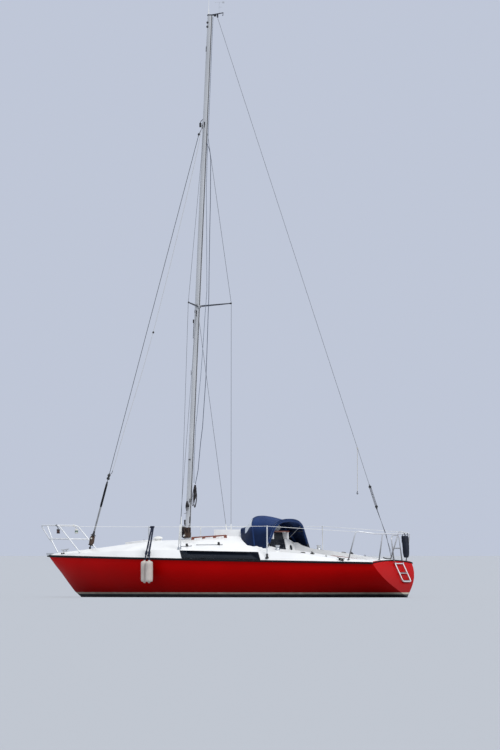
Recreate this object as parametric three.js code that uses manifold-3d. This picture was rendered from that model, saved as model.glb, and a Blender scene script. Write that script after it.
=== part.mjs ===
// A sailing yacht of about 7.7 m, afloat, with no boom and no sails.
// Millimetres. +X towards the bow, +Y to port, +Z up. The origin is on the
// centreline amidships, at the waterline.

import * as THREE from 'three';
import { mergeVertices } from 'three/addons/utils/BufferGeometryUtils.js';
import Module from 'manifold-3d';

const wasm = await Module();
wasm.setup();

// Driving dimensions. Lengths that start at the bow run aft from the bow's tip.
const BOW_X = 3830;
const GAP = 0.4;
const HULL_END = 7900;
const STATION_COUNT = 30;
const STATION_SPREAD = 1.5;
// Heights between which holes are cut, and how deep what stands on the deck
// starts inside it.
const CUT = { low: - 400, high: 1500 };
const SUNK = 20;

const SHEER_BOW_Z = 790;
const SHEER_FALL = 0.0178;
const TRANSOM_TOP = { aft: 7310, z: 710 };
const TRANSOM_FOOT = { aft: 7660, z: 0 };

// Sections of the hull: distance aft, half beam at the sheer, height of the
// keel line, and how V-shaped the section is.
const HULL_SECTIONS = [
	{ aft: 0, beam: 22, keel: 762, vee: 1.0 },
	{ aft: 180, beam: 125, keel: 544, vee: 1.1 },
	{ aft: 320, beam: 212, keel: 390, vee: 1.15 },
	{ aft: 500, beam: 315, keel: 150, vee: 1.2 },
	{ aft: 860, beam: 500, keel: - 110, vee: 1.15 },
	{ aft: 1500, beam: 790, keel: - 270, vee: 0.95 },
	{ aft: 2300, beam: 1085, keel: - 390, vee: 0.75 },
	{ aft: 3200, beam: 1250, keel: - 455, vee: 0.62 },
	{ aft: 4400, beam: 1300, keel: - 465, vee: 0.57 },
	{ aft: 5500, beam: 1245, keel: - 370, vee: 0.62 },
	{ aft: 6400, beam: 1100, keel: - 225, vee: 0.8 },
	{ aft: 7310, beam: 877, keel: - 70, vee: 1.1 },
	{ aft: 7900, beam: 700, keel: 50, vee: 1.3 },
];
const HULL_POINTS = 12;

// Sections of the deck: distance aft, how far the knuckle is inside the sheer,
// how high it is above the sheer, and the height of the crown.
const DECK_SECTIONS = [
	{ aft: 0, inset: 8, rise: 18, crown: 818 },
	{ aft: 240, inset: 25, rise: 38, crown: 860 },
	{ aft: 620, inset: 45, rise: 60, crown: 900 },
	{ aft: 1090, inset: 62, rise: 85, crown: 950 },
	{ aft: 1630, inset: 82, rise: 115, crown: 1015 },
	{ aft: 2120, inset: 98, rise: 140, crown: 1070 },
	{ aft: 2480, inset: 108, rise: 155, crown: 1098 },
	{ aft: 2950, inset: 118, rise: 170, crown: 1102 },
	{ aft: 3200, inset: 122, rise: 175, crown: 1130 },
	{ aft: 3500, inset: 126, rise: 178, crown: 1188 },
	{ aft: 3750, inset: 130, rise: 180, crown: 1200 },
	{ aft: 4930, inset: 130, rise: 190, crown: 1200 },
	{ aft: 5150, inset: 128, rise: 192, crown: 985 },
	{ aft: 5740, inset: 118, rise: 170, crown: 915 },
	{ aft: 6000, inset: 108, rise: 145, crown: 865 },
	{ aft: 6470, inset: 80, rise: 85, crown: 790 },
	{ aft: 7310, inset: 40, rise: 30, crown: 715 },
	{ aft: 7900, inset: 30, rise: 20, crown: 690 },
];
const DECK_POINTS = 8;
const DECK_EXTRA_STATIONS = [ 3350, 4930, 5050 ];

const RUB_RAIL = { width: 30, height: 42 };
const WINDOW = { fore: 3455, aft: 5140, low: 22, high: 172, slant: 95, thickness: 6, off: 3, steps: 10 };

const COCKPIT = { fore: 4950, aft: 7060, foreWidth: 790, aftWidth: 561, floor: 235, seat: 600, rake: 0.21 };
const WELL = { fore: 5020, aft: 6620, width: 280, floor: 260 };
const LOCKER = { fore: 5180, aft: 5880, inner: 345, outer: 612, depth: 230, lid: 22, lap: 18 };
const COMPANIONWAY = { fore: 4420, aft: 4880, width: 285, floor: 260 };
const WASHBOARD = { width: 298, low: 604, high: 1248, thickness: 24, stand: 6 };

const GARAGE = { fore: 3700, aft: 4320, width: 350, sunk: 1120, top: 1302, wall: 15 };
const RUNNER = { fore: 3705, aft: 4960, inner: 300, outer: 346, top: 1252 };
const MAIN_HATCH = { fore: 4300, aft: 4990, width: 318, low: 1253, high: 1279 };
const FORE_HATCH = { aft: 1950, size: 440, frame: 40, lip: 2, depth: 160, lid: 15, rise: 12 };
const VENT = { aft: 2330, radius: 95, height: 90, neck: 66 };
const HANDRAIL = { fore: 3290, aft: 4050, y: 500, height: 46, feet: 4, footLength: 60, bar: 22 };

const MAST = { aft: 2960, foot: 1124, top: 11195, topAft: 3445, length: 108, width: 72,
	topLength: 100, topWidth: 66, taperFrom: 8900, sides: 16 };
const MAST_STEP = { length: 240, width: 150, low: 1000 };
const CRANE = { fore: 3395, bend: 3500, aft: 3728, width: 44, height: 24, tipZ: 11238, tipHeight: 16,
	lugFore: 3592, lugAft: 3622, lugWidth: 18, lugLow: 11152, hookAft: 3718, hookRadius: 8, hookDrop: 64 };
const AERIAL = { aft: 3417, height: 900, radius: 4, baseHeight: 110, baseRadius: 12 };
const SPREADER = { root: 5600, rootAft: 22, tip: 5664, tipAft: 3440, tipOut: 925, radius: 17,
	tipShare: 0.6, off: 2 };

const HOUNDS = { capZ: 9100, foreZ: 8910, foreAft: 3205, tangZ: 9045, lowerZ: 5467 };
const CAP_PLATE = { aft: 3354, y: 1105 };
const LOWER_PLATE = { aft: 3310, y: 1105 };
const FORESTAY_FOOT = { aft: 865, rope: 2330 };
const BACKSTAY = { topAft: 3607, topZ: 11150, footAft: 7285, footY: - 150, tackle: 1990 };
const WIRE = 3;
const SCREW = { radius: 11, length: 330 };
const CHAINPLATE = { length: 36, thickness: 8, height: 90, rise: 25 };
const SHROUD_OFF = 5;
// The furling gear on the forestay: shares of the foil's length at which the
// drum starts and ends, and the radii of the drum, the foil and the foot.
const FURLER = { drumStart: 0.03, drumEnd: 0.16, drumRadius: 42, foilRadius: 17,
	footRadius: 14, footDepth: 60 };
const TACKLE_RADIUS = 12;

const RAIL_RADIUS = 12.5;
const PULPIT = { tipAft: - 125, tipOut: 130, top: 1382, legAft: 390, legOut: 400, baseAft: 864, baseOut: 420,
	forkAft: 50, forkOut: 60, forkZ: 1063, footAft: 180, midZ: 1108 };
const STANCHIONS = [ { aft: 2690, top: 1352 }, { aft: 5260, top: 1365 } ];
const STANCHION = { radius: 12.5, inset: 45, socketRadius: 20, socketTop: 80, cap: 12 };
const PUSHPIT = { foreAft: 7020, foreOut: 955, foreTop: 1270, baseAft: 6850, baseOut: 930, cornerAft: 7330,
	portLeg: 420, starboardLeg: 780, top: 1215, footAft: 7255 };
const LIFELINE = 3;
// Where the guard wire starts and ends, measured from the pulpit's and the
// pushpit's corners.
const LIFELINE_START = { aft: 46, out: 3, down: 22 };
const LIFELINE_END = { fore: 24, out: 4, down: 12 };
const BEND_STEPS = 3;

const SPRAYHOOD = { thickness: 14, points: 30 };
// Arches of the sprayhood from the front hem to the aft bow. Each lists six
// points from the crest to the foot: distance aft, half width and height.
const SPRAYHOOD_ARCHES = [
	{ aft: [ 4285, 4285, 4288, 4300, 4470, 4680 ], out: [ 0, 200, 366, 394, 700, 1000 ],
		z: [ 1320, 1320, 1317, 1200, 1070, 940 ] },
	{ aft: [ 4400, 4410, 4440, 4500, 4620, 4760 ], out: [ 0, 230, 430, 580, 810, 1000 ],
		z: [ 1392, 1388, 1352, 1260, 1105, 940 ] },
	{ aft: [ 4545, 4560, 4610, 4680, 4790, 4890 ], out: [ 0, 250, 480, 680, 860, 1000 ],
		z: [ 1565, 1552, 1500, 1400, 1190, 935 ] },
	{ aft: [ 5000, 5000, 4995, 4985, 4985, 5020 ], out: [ 0, 250, 460, 650, 810, 1000 ],
		z: [ 1478, 1472, 1440, 1360, 1190, 920 ] },
	{ aft: [ 5145, 5142, 5137, 5130, 5120, 5110 ], out: [ 0, 240, 445, 625, 770, 990 ],
		z: [ 1506, 1498, 1462, 1375, 1200, 910 ] },
];
const HOOD_BOW = { radius: 11, inside: 46, points: 20, braces: [ 3, 17 ] };

const WINCH = { aft: 5330, y: 905, radius: 52, height: 88 };
const BOW_CLEAT = { aft: 330, length: 170, rise: 50, radius: 12, legSpread: 30, legLength: 80, legRadius: 11 };
const STEM_FITTING = { fore: - 60, aft: 100, width: 60, clear: 2, rise: 60 };
const NAV_LAMP = { radius: 34, height: 88, aft: 378, out: 394, top: 1313,
	armAft: 330, armOut: 368, armTop: 1359, armRadius: 8 };

// Each fender hangs on a line from the guard wire, which turns at a knot over
// the deck's edge.
const FENDER = { radius: 72, top: 715, bottom: 275, eyeDepth: 10, knotZ: 852, hitchZ: 1344, lineRadius: 5 };
const FENDERS = [
	{ name: 'fender_fore', aft: 2670, y: 1275, knotAft: 2690, knotY: 1262, hitchAft: 2762, hitchY: 1164 },
	{ name: 'fender_aft', aft: 2805, y: 1350, knotAft: 2785, knotY: 1325, hitchAft: 2790, hitchY: 1158 },
];

const KEEL = { rootFore: 3280, rootAft: 4680, tipFore: 3620, tipAft: 4560, root: - 300, foot: - 1350,
	thickness: 130, footThickness: 100 };
const RUDDER = { stockAft: 6950, stockRadius: 18, boreRadius: 26, rootFore: 6868, rootAft: 7290,
	tipFore: 6905, tipAft: 7150, top: - 172, foot: - 1090, thickness: 56, stockFoot: - 472, stockTop: 673 };
const TILLER = { head: 697, headAft: 7000, bendAft: 6800, neckAft: 6110, tipAft: 5990, tipZ: 787,
	width: 46, height: 42 };

const LADDER = { port: - 45, starboard: - 395, hoopTop: 1190, hoopAft: 7285, deckAft: 7350, radius: 12,
	rung: 942, corner: 60, legFoot: 700, hingeZ: 662, off: 34, low: 305, lowRungs: [ 648, 467, 318 ] };
const STERN_BAG = { port: - 425, starboard: - 735, top: 1195, bottom: 752, footPort: - 575,
	footStarboard: - 725, depth: 90, footDepth: 54, forward: 8, bellyZ: 1075, bellyPort: - 445, bellyStarboard: - 725 };
const STROP = { topZ: 2835, bottomZ: 2040, radius: 5, hook: 44 };

const COLOUR = {
	hull: 0x9c0707, white: 0xe9e8e4, black: 0x111214, antifouling: 0x23262c, window: 0x0b0f1a, teak: 0x8a3f24,
	steel: 0xc4c8cb, mast: 0xb9bcbe, navy: 0x14275e, darkNavy: 0x161c33, fender: 0xe2ddd0, washboard: 0x1d1f24,
	lampDark: 0x2a2a2c, lampPale: 0xdcdcda, rope: 0xc9c5bb,
};

const yacht = new THREE.Group();

function paint( colour, roughness, metalness ) {

	return new THREE.MeshStandardMaterial( { color: colour, roughness, metalness } );

}

const gelcoat = paint( COLOUR.white, 0.35, 0 );
const steel = paint( COLOUR.steel, 0.25, 0.9 );
const alloy = paint( COLOUR.mast, 0.45, 0.7 );
const teak = paint( COLOUR.teak, 0.6, 0 );
const blackRubber = paint( COLOUR.black, 0.7, 0 );

function add( name, geometry, material ) {

	const mesh = new THREE.Mesh( geometry, material );
	mesh.name = name;
	yacht.add( mesh );

}

// A place given by its distance aft of the bow's tip.
function at( aft, y, z ) {

	return new THREE.Vector3( BOW_X - aft, y, z );

}

function solidOf( geometry ) {

	const bare = geometry.clone();
	bare.deleteAttribute( 'normal' );
	bare.deleteAttribute( 'uv' );
	const merged = mergeVertices( bare, 1e-3 );
	const corners = merged.index.array;
	const kept = [];
	for ( let i = 0; i < corners.length; i += 3 ) {

		const [ a, b, c ] = [ corners[ i ], corners[ i + 1 ], corners[ i + 2 ] ];
		if ( a !== b && b !== c && c !== a ) kept.push( a, b, c );

	}

	return new wasm.Manifold( new wasm.Mesh( {
		numProp: 3,
		vertProperties: merged.attributes.position.array,
		triVerts: new Uint32Array( kept ),
	} ) );

}

function geometryOf( solid ) {

	const mesh = solid.getMesh();
	const geometry = new THREE.BufferGeometry();
	geometry.setAttribute( 'position', new THREE.BufferAttribute( new Float32Array( mesh.vertProperties ), 3 ) );
	geometry.setIndex( new THREE.BufferAttribute( new Uint32Array( mesh.triVerts ), 1 ) );
	return geometry;

}

function joined( geometries ) {

	return geometries.map( solidOf ).reduce( ( whole, piece ) => whole.add( piece ) );

}

// A closed body through rings that all have the same number of points.
function loft( rings ) {

	const count = rings[ 0 ].length;
	const points = rings.flat();
	const triangles = [];
	for ( let r = 0; r < rings.length - 1; r ++ ) {

		for ( let i = 0; i < count; i ++ ) {

			const a = r * count + i;
			const b = r * count + ( i + 1 ) % count;
			triangles.push( a, b, a + count, b, b + count, a + count );

		}

	}

	const last = ( rings.length - 1 ) * count;
	const ends = [ { first: 0, turn: 1 }, { first: last, turn: 0 } ];
	for ( const end of ends ) {

		const middle = new THREE.Vector3();
		for ( let i = 0; i < count; i ++ ) middle.addScaledVector( points[ end.first + i ], 1 / count );
		const centre = points.push( middle ) - 1;
		for ( let i = 0; i < count; i ++ ) {

			const a = end.first + i;
			const b = end.first + ( i + 1 ) % count;
			if ( end.turn ) triangles.push( centre, b, a );
			else triangles.push( centre, a, b );

		}

	}

	return facingOut( points, triangles );

}

function facingOut( points, triangles ) {

	let volume = 0;
	for ( let i = 0; i < triangles.length; i += 3 ) {

		const [ a, b, c ] = [ points[ triangles[ i ] ], points[ triangles[ i + 1 ] ], points[ triangles[ i + 2 ] ] ];
		volume += a.dot( b.clone().cross( c ) );

	}

	if ( volume < 0 ) triangles.reverse();
	const geometry = new THREE.BufferGeometry().setFromPoints( points );
	geometry.setIndex( triangles );
	return geometry;

}

// A sheet of the given thickness behind a grid of points.
function thickSheet( grid, thickness ) {

	const rows = grid.length;
	const columns = grid[ 0 ].length;
	const inner = grid.map( ( row, r ) => row.map( ( point, c ) => {

		const along = grid[ Math.min( r + 1, rows - 1 ) ][ c ].clone().sub( grid[ Math.max( r - 1, 0 ) ][ c ] );
		const across = row[ Math.min( c + 1, columns - 1 ) ].clone().sub( row[ Math.max( c - 1, 0 ) ] );
		return point.clone().addScaledVector( across.cross( along ).normalize(), thickness );

	} ) );
	const points = [ ...grid.flat(), ...inner.flat() ];
	const half = rows * columns;
	const triangles = [];
	const quad = ( a, b, c, d ) => triangles.push( a, b, c, a, c, d );
	for ( let r = 0; r < rows - 1; r ++ ) {

		for ( let c = 0; c < columns - 1; c ++ ) {

			const a = r * columns + c;
			quad( a, a + columns, a + columns + 1, a + 1 );
			quad( half + a, half + a + 1, half + a + columns + 1, half + a + columns );

		}

	}

	for ( let c = 0; c < columns - 1; c ++ ) {

		const far = ( rows - 1 ) * columns + c;
		quad( c, c + 1, half + c + 1, half + c );
		quad( far + 1, far, half + far, half + far + 1 );

	}

	for ( let r = 0; r < rows - 1; r ++ ) {

		const near = r * columns;
		const far = near + columns - 1;
		quad( near + columns, near, half + near, half + near + columns );
		quad( far, far + columns, half + far + columns, half + far );

	}

	return facingOut( points, triangles );

}

function rod( from, to, radius, sides = 8, farRadius = radius ) {

	const run = to.clone().sub( from );
	const geometry = new THREE.CylinderGeometry( farRadius, radius, run.length(), sides );
	geometry.translate( 0, run.length() / 2, 0 );
	const upright = new THREE.Vector3( 0, 1, 0 );
	geometry.applyQuaternion( new THREE.Quaternion().setFromUnitVectors( upright, run.normalize() ) );
	geometry.translate( from.x, from.y, from.z );
	return geometry;

}

// The points of a path whose corners are rounded.
function rounded( points, bend ) {

	const path = [ points[ 0 ] ];
	for ( let i = 1; i < points.length - 1; i ++ ) {

		const corner = points[ i ];
		const shorter = Math.min( corner.distanceTo( points[ i - 1 ] ), corner.distanceTo( points[ i + 1 ] ) );
		const reach = Math.min( bend, shorter * 0.45 );
		const into = corner.clone().add( points[ i - 1 ].clone().sub( corner ).setLength( reach ) );
		const out = corner.clone().add( points[ i + 1 ].clone().sub( corner ).setLength( reach ) );
		path.push( ...new THREE.QuadraticBezierCurve3( into, corner, out ).getPoints( BEND_STEPS ) );

	}

	path.push( points[ points.length - 1 ] );
	return path;

}

// A round tube from point to point with rounded corners.
function bent( points, radius, sides = 8, bend = 60 ) {

	const path = rounded( points, bend );
	const normal = new THREE.Vector3( 0.31, 0.17, 0.94 );
	const rings = path.map( ( point, i ) => {

		const next = path[ Math.min( i + 1, path.length - 1 ) ];
		const tangent = next.clone().sub( path[ Math.max( i - 1, 0 ) ] ).normalize();
		normal.addScaledVector( tangent, - normal.dot( tangent ) ).normalize();
		const other = tangent.clone().cross( normal );
		return Array.from( { length: sides }, ( _, k ) => {

			const turn = k / sides * Math.PI * 2;
			const side = point.clone().addScaledVector( normal, radius * Math.cos( turn ) );
			return side.addScaledVector( other, radius * Math.sin( turn ) );

		} );

	} );
	return loft( rings );

}

function pipework( runs, radius, sides = 8 ) {

	return runs.map( ( run ) => bent( run, radius, sides ) );

}

function lowered( point, depth ) {

	return point.clone().add( new THREE.Vector3( 0, 0, - depth ) );

}

function block( fore, aft, yLow, yHigh, zLow, zHigh ) {

	const geometry = new THREE.BoxGeometry( aft - fore, yHigh - yLow, zHigh - zLow );
	geometry.translate( BOW_X - ( fore + aft ) / 2, ( yLow + yHigh ) / 2, ( zLow + zHigh ) / 2 );
	return geometry;

}

function moved( geometry, x, y, z ) {

	return geometry.clone().translate( x, y, z );

}

// The value of one column of a table of sections, with smooth slopes between
// the rows.
function sample( table, aft, column ) {

	let i = table.findIndex( ( row, k ) => k < table.length - 1 && aft <= table[ k + 1 ].aft );
	if ( i < 0 ) i = table.length - 2;
	const slope = ( k ) => {

		const low = table[ Math.max( k - 1, 0 ) ];
		const high = table[ Math.min( k + 1, table.length - 1 ) ];
		return ( high[ column ] - low[ column ] ) / ( high.aft - low.aft );

	};

	const span = table[ i + 1 ].aft - table[ i ].aft;
	const t = ( aft - table[ i ].aft ) / span;
	const start = table[ i ][ column ];
	const end = table[ i + 1 ][ column ];
	return start * ( 1 + 2 * t ) * ( 1 - t ) ** 2 + slope( i ) * span * t * ( 1 - t ) ** 2
		+ end * t * t * ( 3 - 2 * t ) + slope( i + 1 ) * span * t * t * ( t - 1 );

}

function sheerZ( aft ) {

	return SHEER_BOW_Z - SHEER_FALL * aft;

}

function crownZ( aft ) {

	const i = DECK_SECTIONS.findIndex( ( row, k ) => aft <= DECK_SECTIONS[ k + 1 ].aft );
	const [ low, high ] = [ DECK_SECTIONS[ i ], DECK_SECTIONS[ i + 1 ] ];
	return low.crown + ( high.crown - low.crown ) * ( aft - low.aft ) / ( high.aft - low.aft );

}

function knuckle( aft ) {

	const y = sample( HULL_SECTIONS, aft, 'beam' ) - sample( DECK_SECTIONS, aft, 'inset' );
	return { y, z: sheerZ( aft ) + sample( DECK_SECTIONS, aft, 'rise' ) };

}

// The height of the deck at a place, on the cambered part.
function deckZ( aft, y ) {

	const edge = knuckle( aft );
	return edge.z + ( crownZ( aft ) - edge.z ) * ( 1 - ( y / edge.y ) ** 2 );

}

// Stations crowd together towards the bow, where the shape changes most.
const stations = Array.from( { length: STATION_COUNT + 1 },
	( _, i ) => HULL_END * ( i / STATION_COUNT ) ** STATION_SPREAD );
const deckStations = [ ...stations, ...DECK_EXTRA_STATIONS ].sort( ( a, b ) => a - b );

function hullRing( aft ) {

	const beam = sample( HULL_SECTIONS, aft, 'beam' );
	const keel = sample( HULL_SECTIONS, aft, 'keel' );
	const vee = sample( HULL_SECTIONS, aft, 'vee' );
	const top = sheerZ( aft );
	const side = Array.from( { length: HULL_POINTS }, ( _, i ) => {

		const down = Math.sin( i / HULL_POINTS * Math.PI / 2 );
		return { y: beam * ( 1 - down * down ) ** vee, z: top + ( keel - top ) * down };

	} );
	return [
		...side.map( ( p ) => at( aft, p.y, p.z ) ),
		at( aft, 0, keel ),
		...side.reverse().map( ( p ) => at( aft, - p.y, p.z ) ),
	];

}

function deckRing( aft ) {

	const beam = sample( HULL_SECTIONS, aft, 'beam' );
	const edge = knuckle( aft );
	const side = Array.from( { length: DECK_POINTS }, ( _, i ) => {

		const y = edge.y * ( 1 - i / DECK_POINTS );
		return { y, z: deckZ( aft, y ) };

	} );
	side.unshift( { y: beam, z: sheerZ( aft ) + GAP } );
	return [
		...side.map( ( p ) => at( aft, p.y, p.z ) ),
		at( aft, 0, crownZ( aft ) ),
		...side.reverse().map( ( p ) => at( aft, - p.y, p.z ) ),
	];

}

function transomAft( z ) {

	const fall = ( TRANSOM_TOP.z - z ) / ( TRANSOM_TOP.z - TRANSOM_FOOT.z );
	return TRANSOM_TOP.aft + ( TRANSOM_FOOT.aft - TRANSOM_TOP.aft ) * fall;

}

// What lies aft of the raked transom, to be cut away.
function behindTransom() {

	const reach = 1600;
	const ring = ( z ) => [
		at( transomAft( z ), reach, z ), at( transomAft( z ) + reach, reach, z ),
		at( transomAft( z ) + reach, - reach, z ), at( transomAft( z ), - reach, z ),
	];
	return solidOf( loft( [ ring( - reach ), ring( reach ) ] ) );

}

// The cockpit's outline, grown by a margin, between two heights. Its forward
// end leans forward as it rises, as the bulkhead does.
function cockpitShape( margin, low, high ) {

	const taper = ( COCKPIT.foreWidth - COCKPIT.aftWidth ) / ( COCKPIT.aft - COCKPIT.fore );
	const width = ( aft ) => COCKPIT.foreWidth + margin - taper * ( aft - COCKPIT.fore );
	const ring = ( z ) => {

		const fore = COCKPIT.fore - margin - COCKPIT.rake * ( z - COCKPIT.seat );
		const aft = COCKPIT.aft + margin;
		return [
			at( fore, width( fore ), z ), at( aft, width( aft ), z ),
			at( aft, - width( aft ), z ), at( fore, - width( fore ), z ),
		];

	};

	return loft( [ ring( low ), ring( high ) ] );

}

function stockBore() {

	const { stockAft, boreRadius } = RUDDER;
	return solidOf( rod( at( stockAft, 0, CUT.low ), at( stockAft, 0, CUT.high ), boreRadius, 16 ) );

}

// The way down through the deck. In the deck it runs on aft into the cockpit.
function companionwayCut( aft ) {

	const { fore, width, floor } = COMPANIONWAY;
	return solidOf( block( fore, aft, - width, width, floor, CUT.high ) );

}

// Turns and moves a piece made around its own middle to the fore hatch, which
// lies along the slope of the deck.
function onForeHatch( geometry ) {

	const { aft, size, rise } = FORE_HATCH;
	const slope = Math.atan2( crownZ( aft + size / 2 ) - crownZ( aft - size / 2 ), size );
	const place = at( aft, 0, crownZ( aft ) + rise );
	return geometry.rotateY( slope ).translate( place.x, place.y, place.z );

}

function foreHatchHole( lip ) {

	const inner = FORE_HATCH.size - 2 * ( FORE_HATCH.frame + lip );
	return solidOf( onForeHatch( new THREE.BoxGeometry( inner, inner, CUT.high ) ) );

}

function makeHull() {

	return solidOf( loft( stations.map( hullRing ) ) )
		.subtract( behindTransom() )
		.subtract( solidOf( cockpitShape( GAP, COCKPIT.floor - GAP, CUT.high ) ) )
		.subtract( companionwayCut( COMPANIONWAY.aft ) )
		.subtract( stockBore() );

}

function makeDeck() {

	return solidOf( loft( deckStations.map( deckRing ) ) )
		.subtract( behindTransom() )
		.subtract( solidOf( cockpitShape( GAP, 0, CUT.high ) ) )
		.subtract( companionwayCut( WELL.fore ) )
		.subtract( foreHatchHole( FORE_HATCH.lip ) );

}

const hull = makeHull();
const deck = makeDeck();
const hullGeometry = geometryOf( hull );
const deckGeometry = geometryOf( deck );
const deckBelow = solidOf( moved( deckGeometry, 0, 0, GAP ) );
add( 'hull', hullGeometry, paint( COLOUR.hull, 0.3, 0 ) );
add( 'deck', deckGeometry, gelcoat );

// What stands on the deck is made a little too deep and cut by the deck.
function standsOnDeck( solid ) {

	return geometryOf( solid.subtract( deckBelow ) );

}

function makeRubRail() {

	const { width, height } = RUB_RAIL;
	const clear = GAP * 4;
	const ring = ( aft, side ) => {

		const beam = sample( HULL_SECTIONS, aft, 'beam' ) + clear;
		const profile = [ [ 0, - height / 2 ], [ width, - height / 3 ], [ width, height / 3 ], [ 0, height / 2 ] ];
		return profile.map( ( [ out, up ] ) => at( aft, side * ( beam + out ), sheerZ( aft ) + up ) );

	};

	const stemBeam = sample( HULL_SECTIONS, 0, 'beam' );
	const across = stemBeam + clear + width;
	const low = SHEER_BOW_Z - height / 3;
	const high = SHEER_BOW_Z + height / 3;
	let rail = solidOf( block( - width - clear, - clear, - across, across, low, high ) );
	for ( const side of [ 1, - 1 ] ) {

		const ys = [ side * ( stemBeam + clear * 5 ), side * across ];
		rail = rail.add( solidOf( loft( stations.map( ( aft ) => ring( aft, side ) ) ) ) );
		rail = rail.add( solidOf( block( - width, clear * 3, Math.min( ...ys ), Math.max( ...ys ), low, high ) ) );

	}

	return rail.subtract( behindTransom() );

}

add( 'rub_rail', geometryOf( makeRubRail() ), blackRubber );

function makeWindow( side ) {

	const { fore, aft, low, high, slant, thickness, off, steps } = WINDOW;
	const ring = ( i ) => {

		const along = i / steps;
		const place = ( up, out ) => {

			const lean = slant * ( up - low ) / ( high - low );
			const x = fore + ( aft - fore ) * along - lean;
			const beam = sample( HULL_SECTIONS, x, 'beam' );
			const edge = knuckle( x );
			const share = up / ( edge.z - sheerZ( x ) );
			return at( x, side * ( beam + ( edge.y - beam ) * share + out ), sheerZ( x ) + up );

		};

		const outer = off + thickness;
		return [ place( low, off ), place( low, outer ), place( high, outer ), place( high, off ) ];

	};

	return loft( Array.from( { length: steps + 1 }, ( _, i ) => ring( i ) ) );

}

add( 'window_port', makeWindow( 1 ), paint( COLOUR.window, 0.08, 0 ) );
add( 'window_starboard', makeWindow( - 1 ), paint( COLOUR.window, 0.08, 0 ) );

function lockerBox( side, grow, low, high ) {

	const ys = [ side * ( LOCKER.inner - grow ), side * ( LOCKER.outer + grow ) ];
	return block( LOCKER.fore - grow, LOCKER.aft + grow, Math.min( ...ys ), Math.max( ...ys ), low, high );

}

function makeCockpit() {

	const { fore, aft, width, floor } = WELL;
	let pan = solidOf( cockpitShape( 0, COCKPIT.floor, COCKPIT.seat ) )
		.subtract( solidOf( block( fore, aft, - width, width, floor, CUT.high ) ) );
	for ( const side of [ 1, - 1 ] ) {

		pan = pan.subtract( solidOf( lockerBox( side, 0, COCKPIT.seat - LOCKER.depth, CUT.high ) ) );

	}

	return pan.subtract( stockBore() );

}

add( 'cockpit', geometryOf( makeCockpit() ), gelcoat );

for ( const [ name, side ] of [ [ 'locker_lid_port', 1 ], [ 'locker_lid_starboard', - 1 ] ] ) {

	add( name, lockerBox( side, LOCKER.lap, COCKPIT.seat + GAP, COCKPIT.seat + LOCKER.lid ), gelcoat );

}

function makeGarage() {

	const { fore, aft, width, sunk, top, wall } = GARAGE;
	return solidOf( block( fore, aft, - width, width, sunk, top ) )
		.subtract( solidOf( block( fore + wall, aft + wall, - width + wall, width - wall, 0, top - wall ) ) )
		.add( solidOf( block( RUNNER.fore, RUNNER.aft, RUNNER.inner, RUNNER.outer, sunk, RUNNER.top ) ) )
		.add( solidOf( block( RUNNER.fore, RUNNER.aft, - RUNNER.outer, - RUNNER.inner, sunk, RUNNER.top ) ) );

}

add( 'hatch_garage', standsOnDeck( makeGarage() ), gelcoat );
add( 'main_hatch', block( MAIN_HATCH.fore, MAIN_HATCH.aft, - MAIN_HATCH.width, MAIN_HATCH.width,
	MAIN_HATCH.low, MAIN_HATCH.high ), gelcoat );

function makeWashboards() {

	const { width, low, high, thickness, stand } = WASHBOARD;
	const face = ( z ) => COCKPIT.fore - COCKPIT.rake * ( z - COCKPIT.seat ) + stand;
	const ring = ( z ) => [
		at( face( z ), width, z ), at( face( z ) + thickness, width, z ),
		at( face( z ) + thickness, - width, z ), at( face( z ), - width, z ),
	];
	return loft( [ ring( low ), ring( high ) ] );

}

add( 'washboards', makeWashboards(), paint( COLOUR.washboard, 0.5, 0 ) );

function foreHatchParts() {

	const { size, depth, lid: thickness } = FORE_HATCH;
	const frame = solidOf( onForeHatch( moved( new THREE.BoxGeometry( size, size, depth ), 0, 0, - depth / 2 ) ) )
		.subtract( foreHatchHole( 0 ) );
	const lid = onForeHatch( moved( new THREE.BoxGeometry( size, size, thickness ), 0, 0, GAP + thickness / 2 ) );
	return { frame, lid };

}

const foreHatch = foreHatchParts();
add( 'fore_hatch_frame', standsOnDeck( foreHatch.frame ), alloy );
add( 'fore_hatch', foreHatch.lid, paint( COLOUR.window, 0.1, 0 ) );

function makeVent() {

	const { radius, height, neck } = VENT;
	const profile = [ [ 0, - SUNK ], [ neck, - SUNK ], [ neck, height * 0.4 ], [ radius, height * 0.45 ],
		[ radius * 0.92, height * 0.68 ], [ radius * 0.6, height * 0.92 ], [ 0, height ] ];
	const geometry = new THREE.LatheGeometry( profile.map( ( [ x, y ] ) => new THREE.Vector2( x, y ) ), 20 );
	geometry.rotateX( Math.PI / 2 );
	const place = at( VENT.aft, 0, crownZ( VENT.aft ) );
	geometry.translate( place.x, place.y, place.z );
	return solidOf( geometry );

}

add( 'deck_vent', standsOnDeck( makeVent() ), gelcoat );

function makeHandrail( side ) {

	const { fore, aft, y, height, feet, footLength, bar } = HANDRAIL;
	const top = ( x ) => deckZ( x, y ) + height;
	const pieces = [ rod( at( fore, side * y, top( fore ) ), at( aft, side * y, top( aft ) ), bar / 2 ) ];
	for ( let i = 0; i < feet; i ++ ) {

		const x = fore + footLength / 2 + ( aft - fore - footLength ) * i / ( feet - 1 );
		pieces.push( block( x - footLength / 2, x + footLength / 2, side * y - bar * 0.45, side * y + bar * 0.45,
			deckZ( x, y ) - SUNK, top( x ) ) );

	}

	return joined( pieces );

}

add( 'handrail_port', standsOnDeck( makeHandrail( 1 ) ), teak );
add( 'handrail_starboard', standsOnDeck( makeHandrail( - 1 ) ), teak );

function mastAft( z ) {

	return MAST.aft + ( MAST.topAft - MAST.aft ) * ( z - MAST.foot ) / ( MAST.top - MAST.foot );

}

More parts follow.
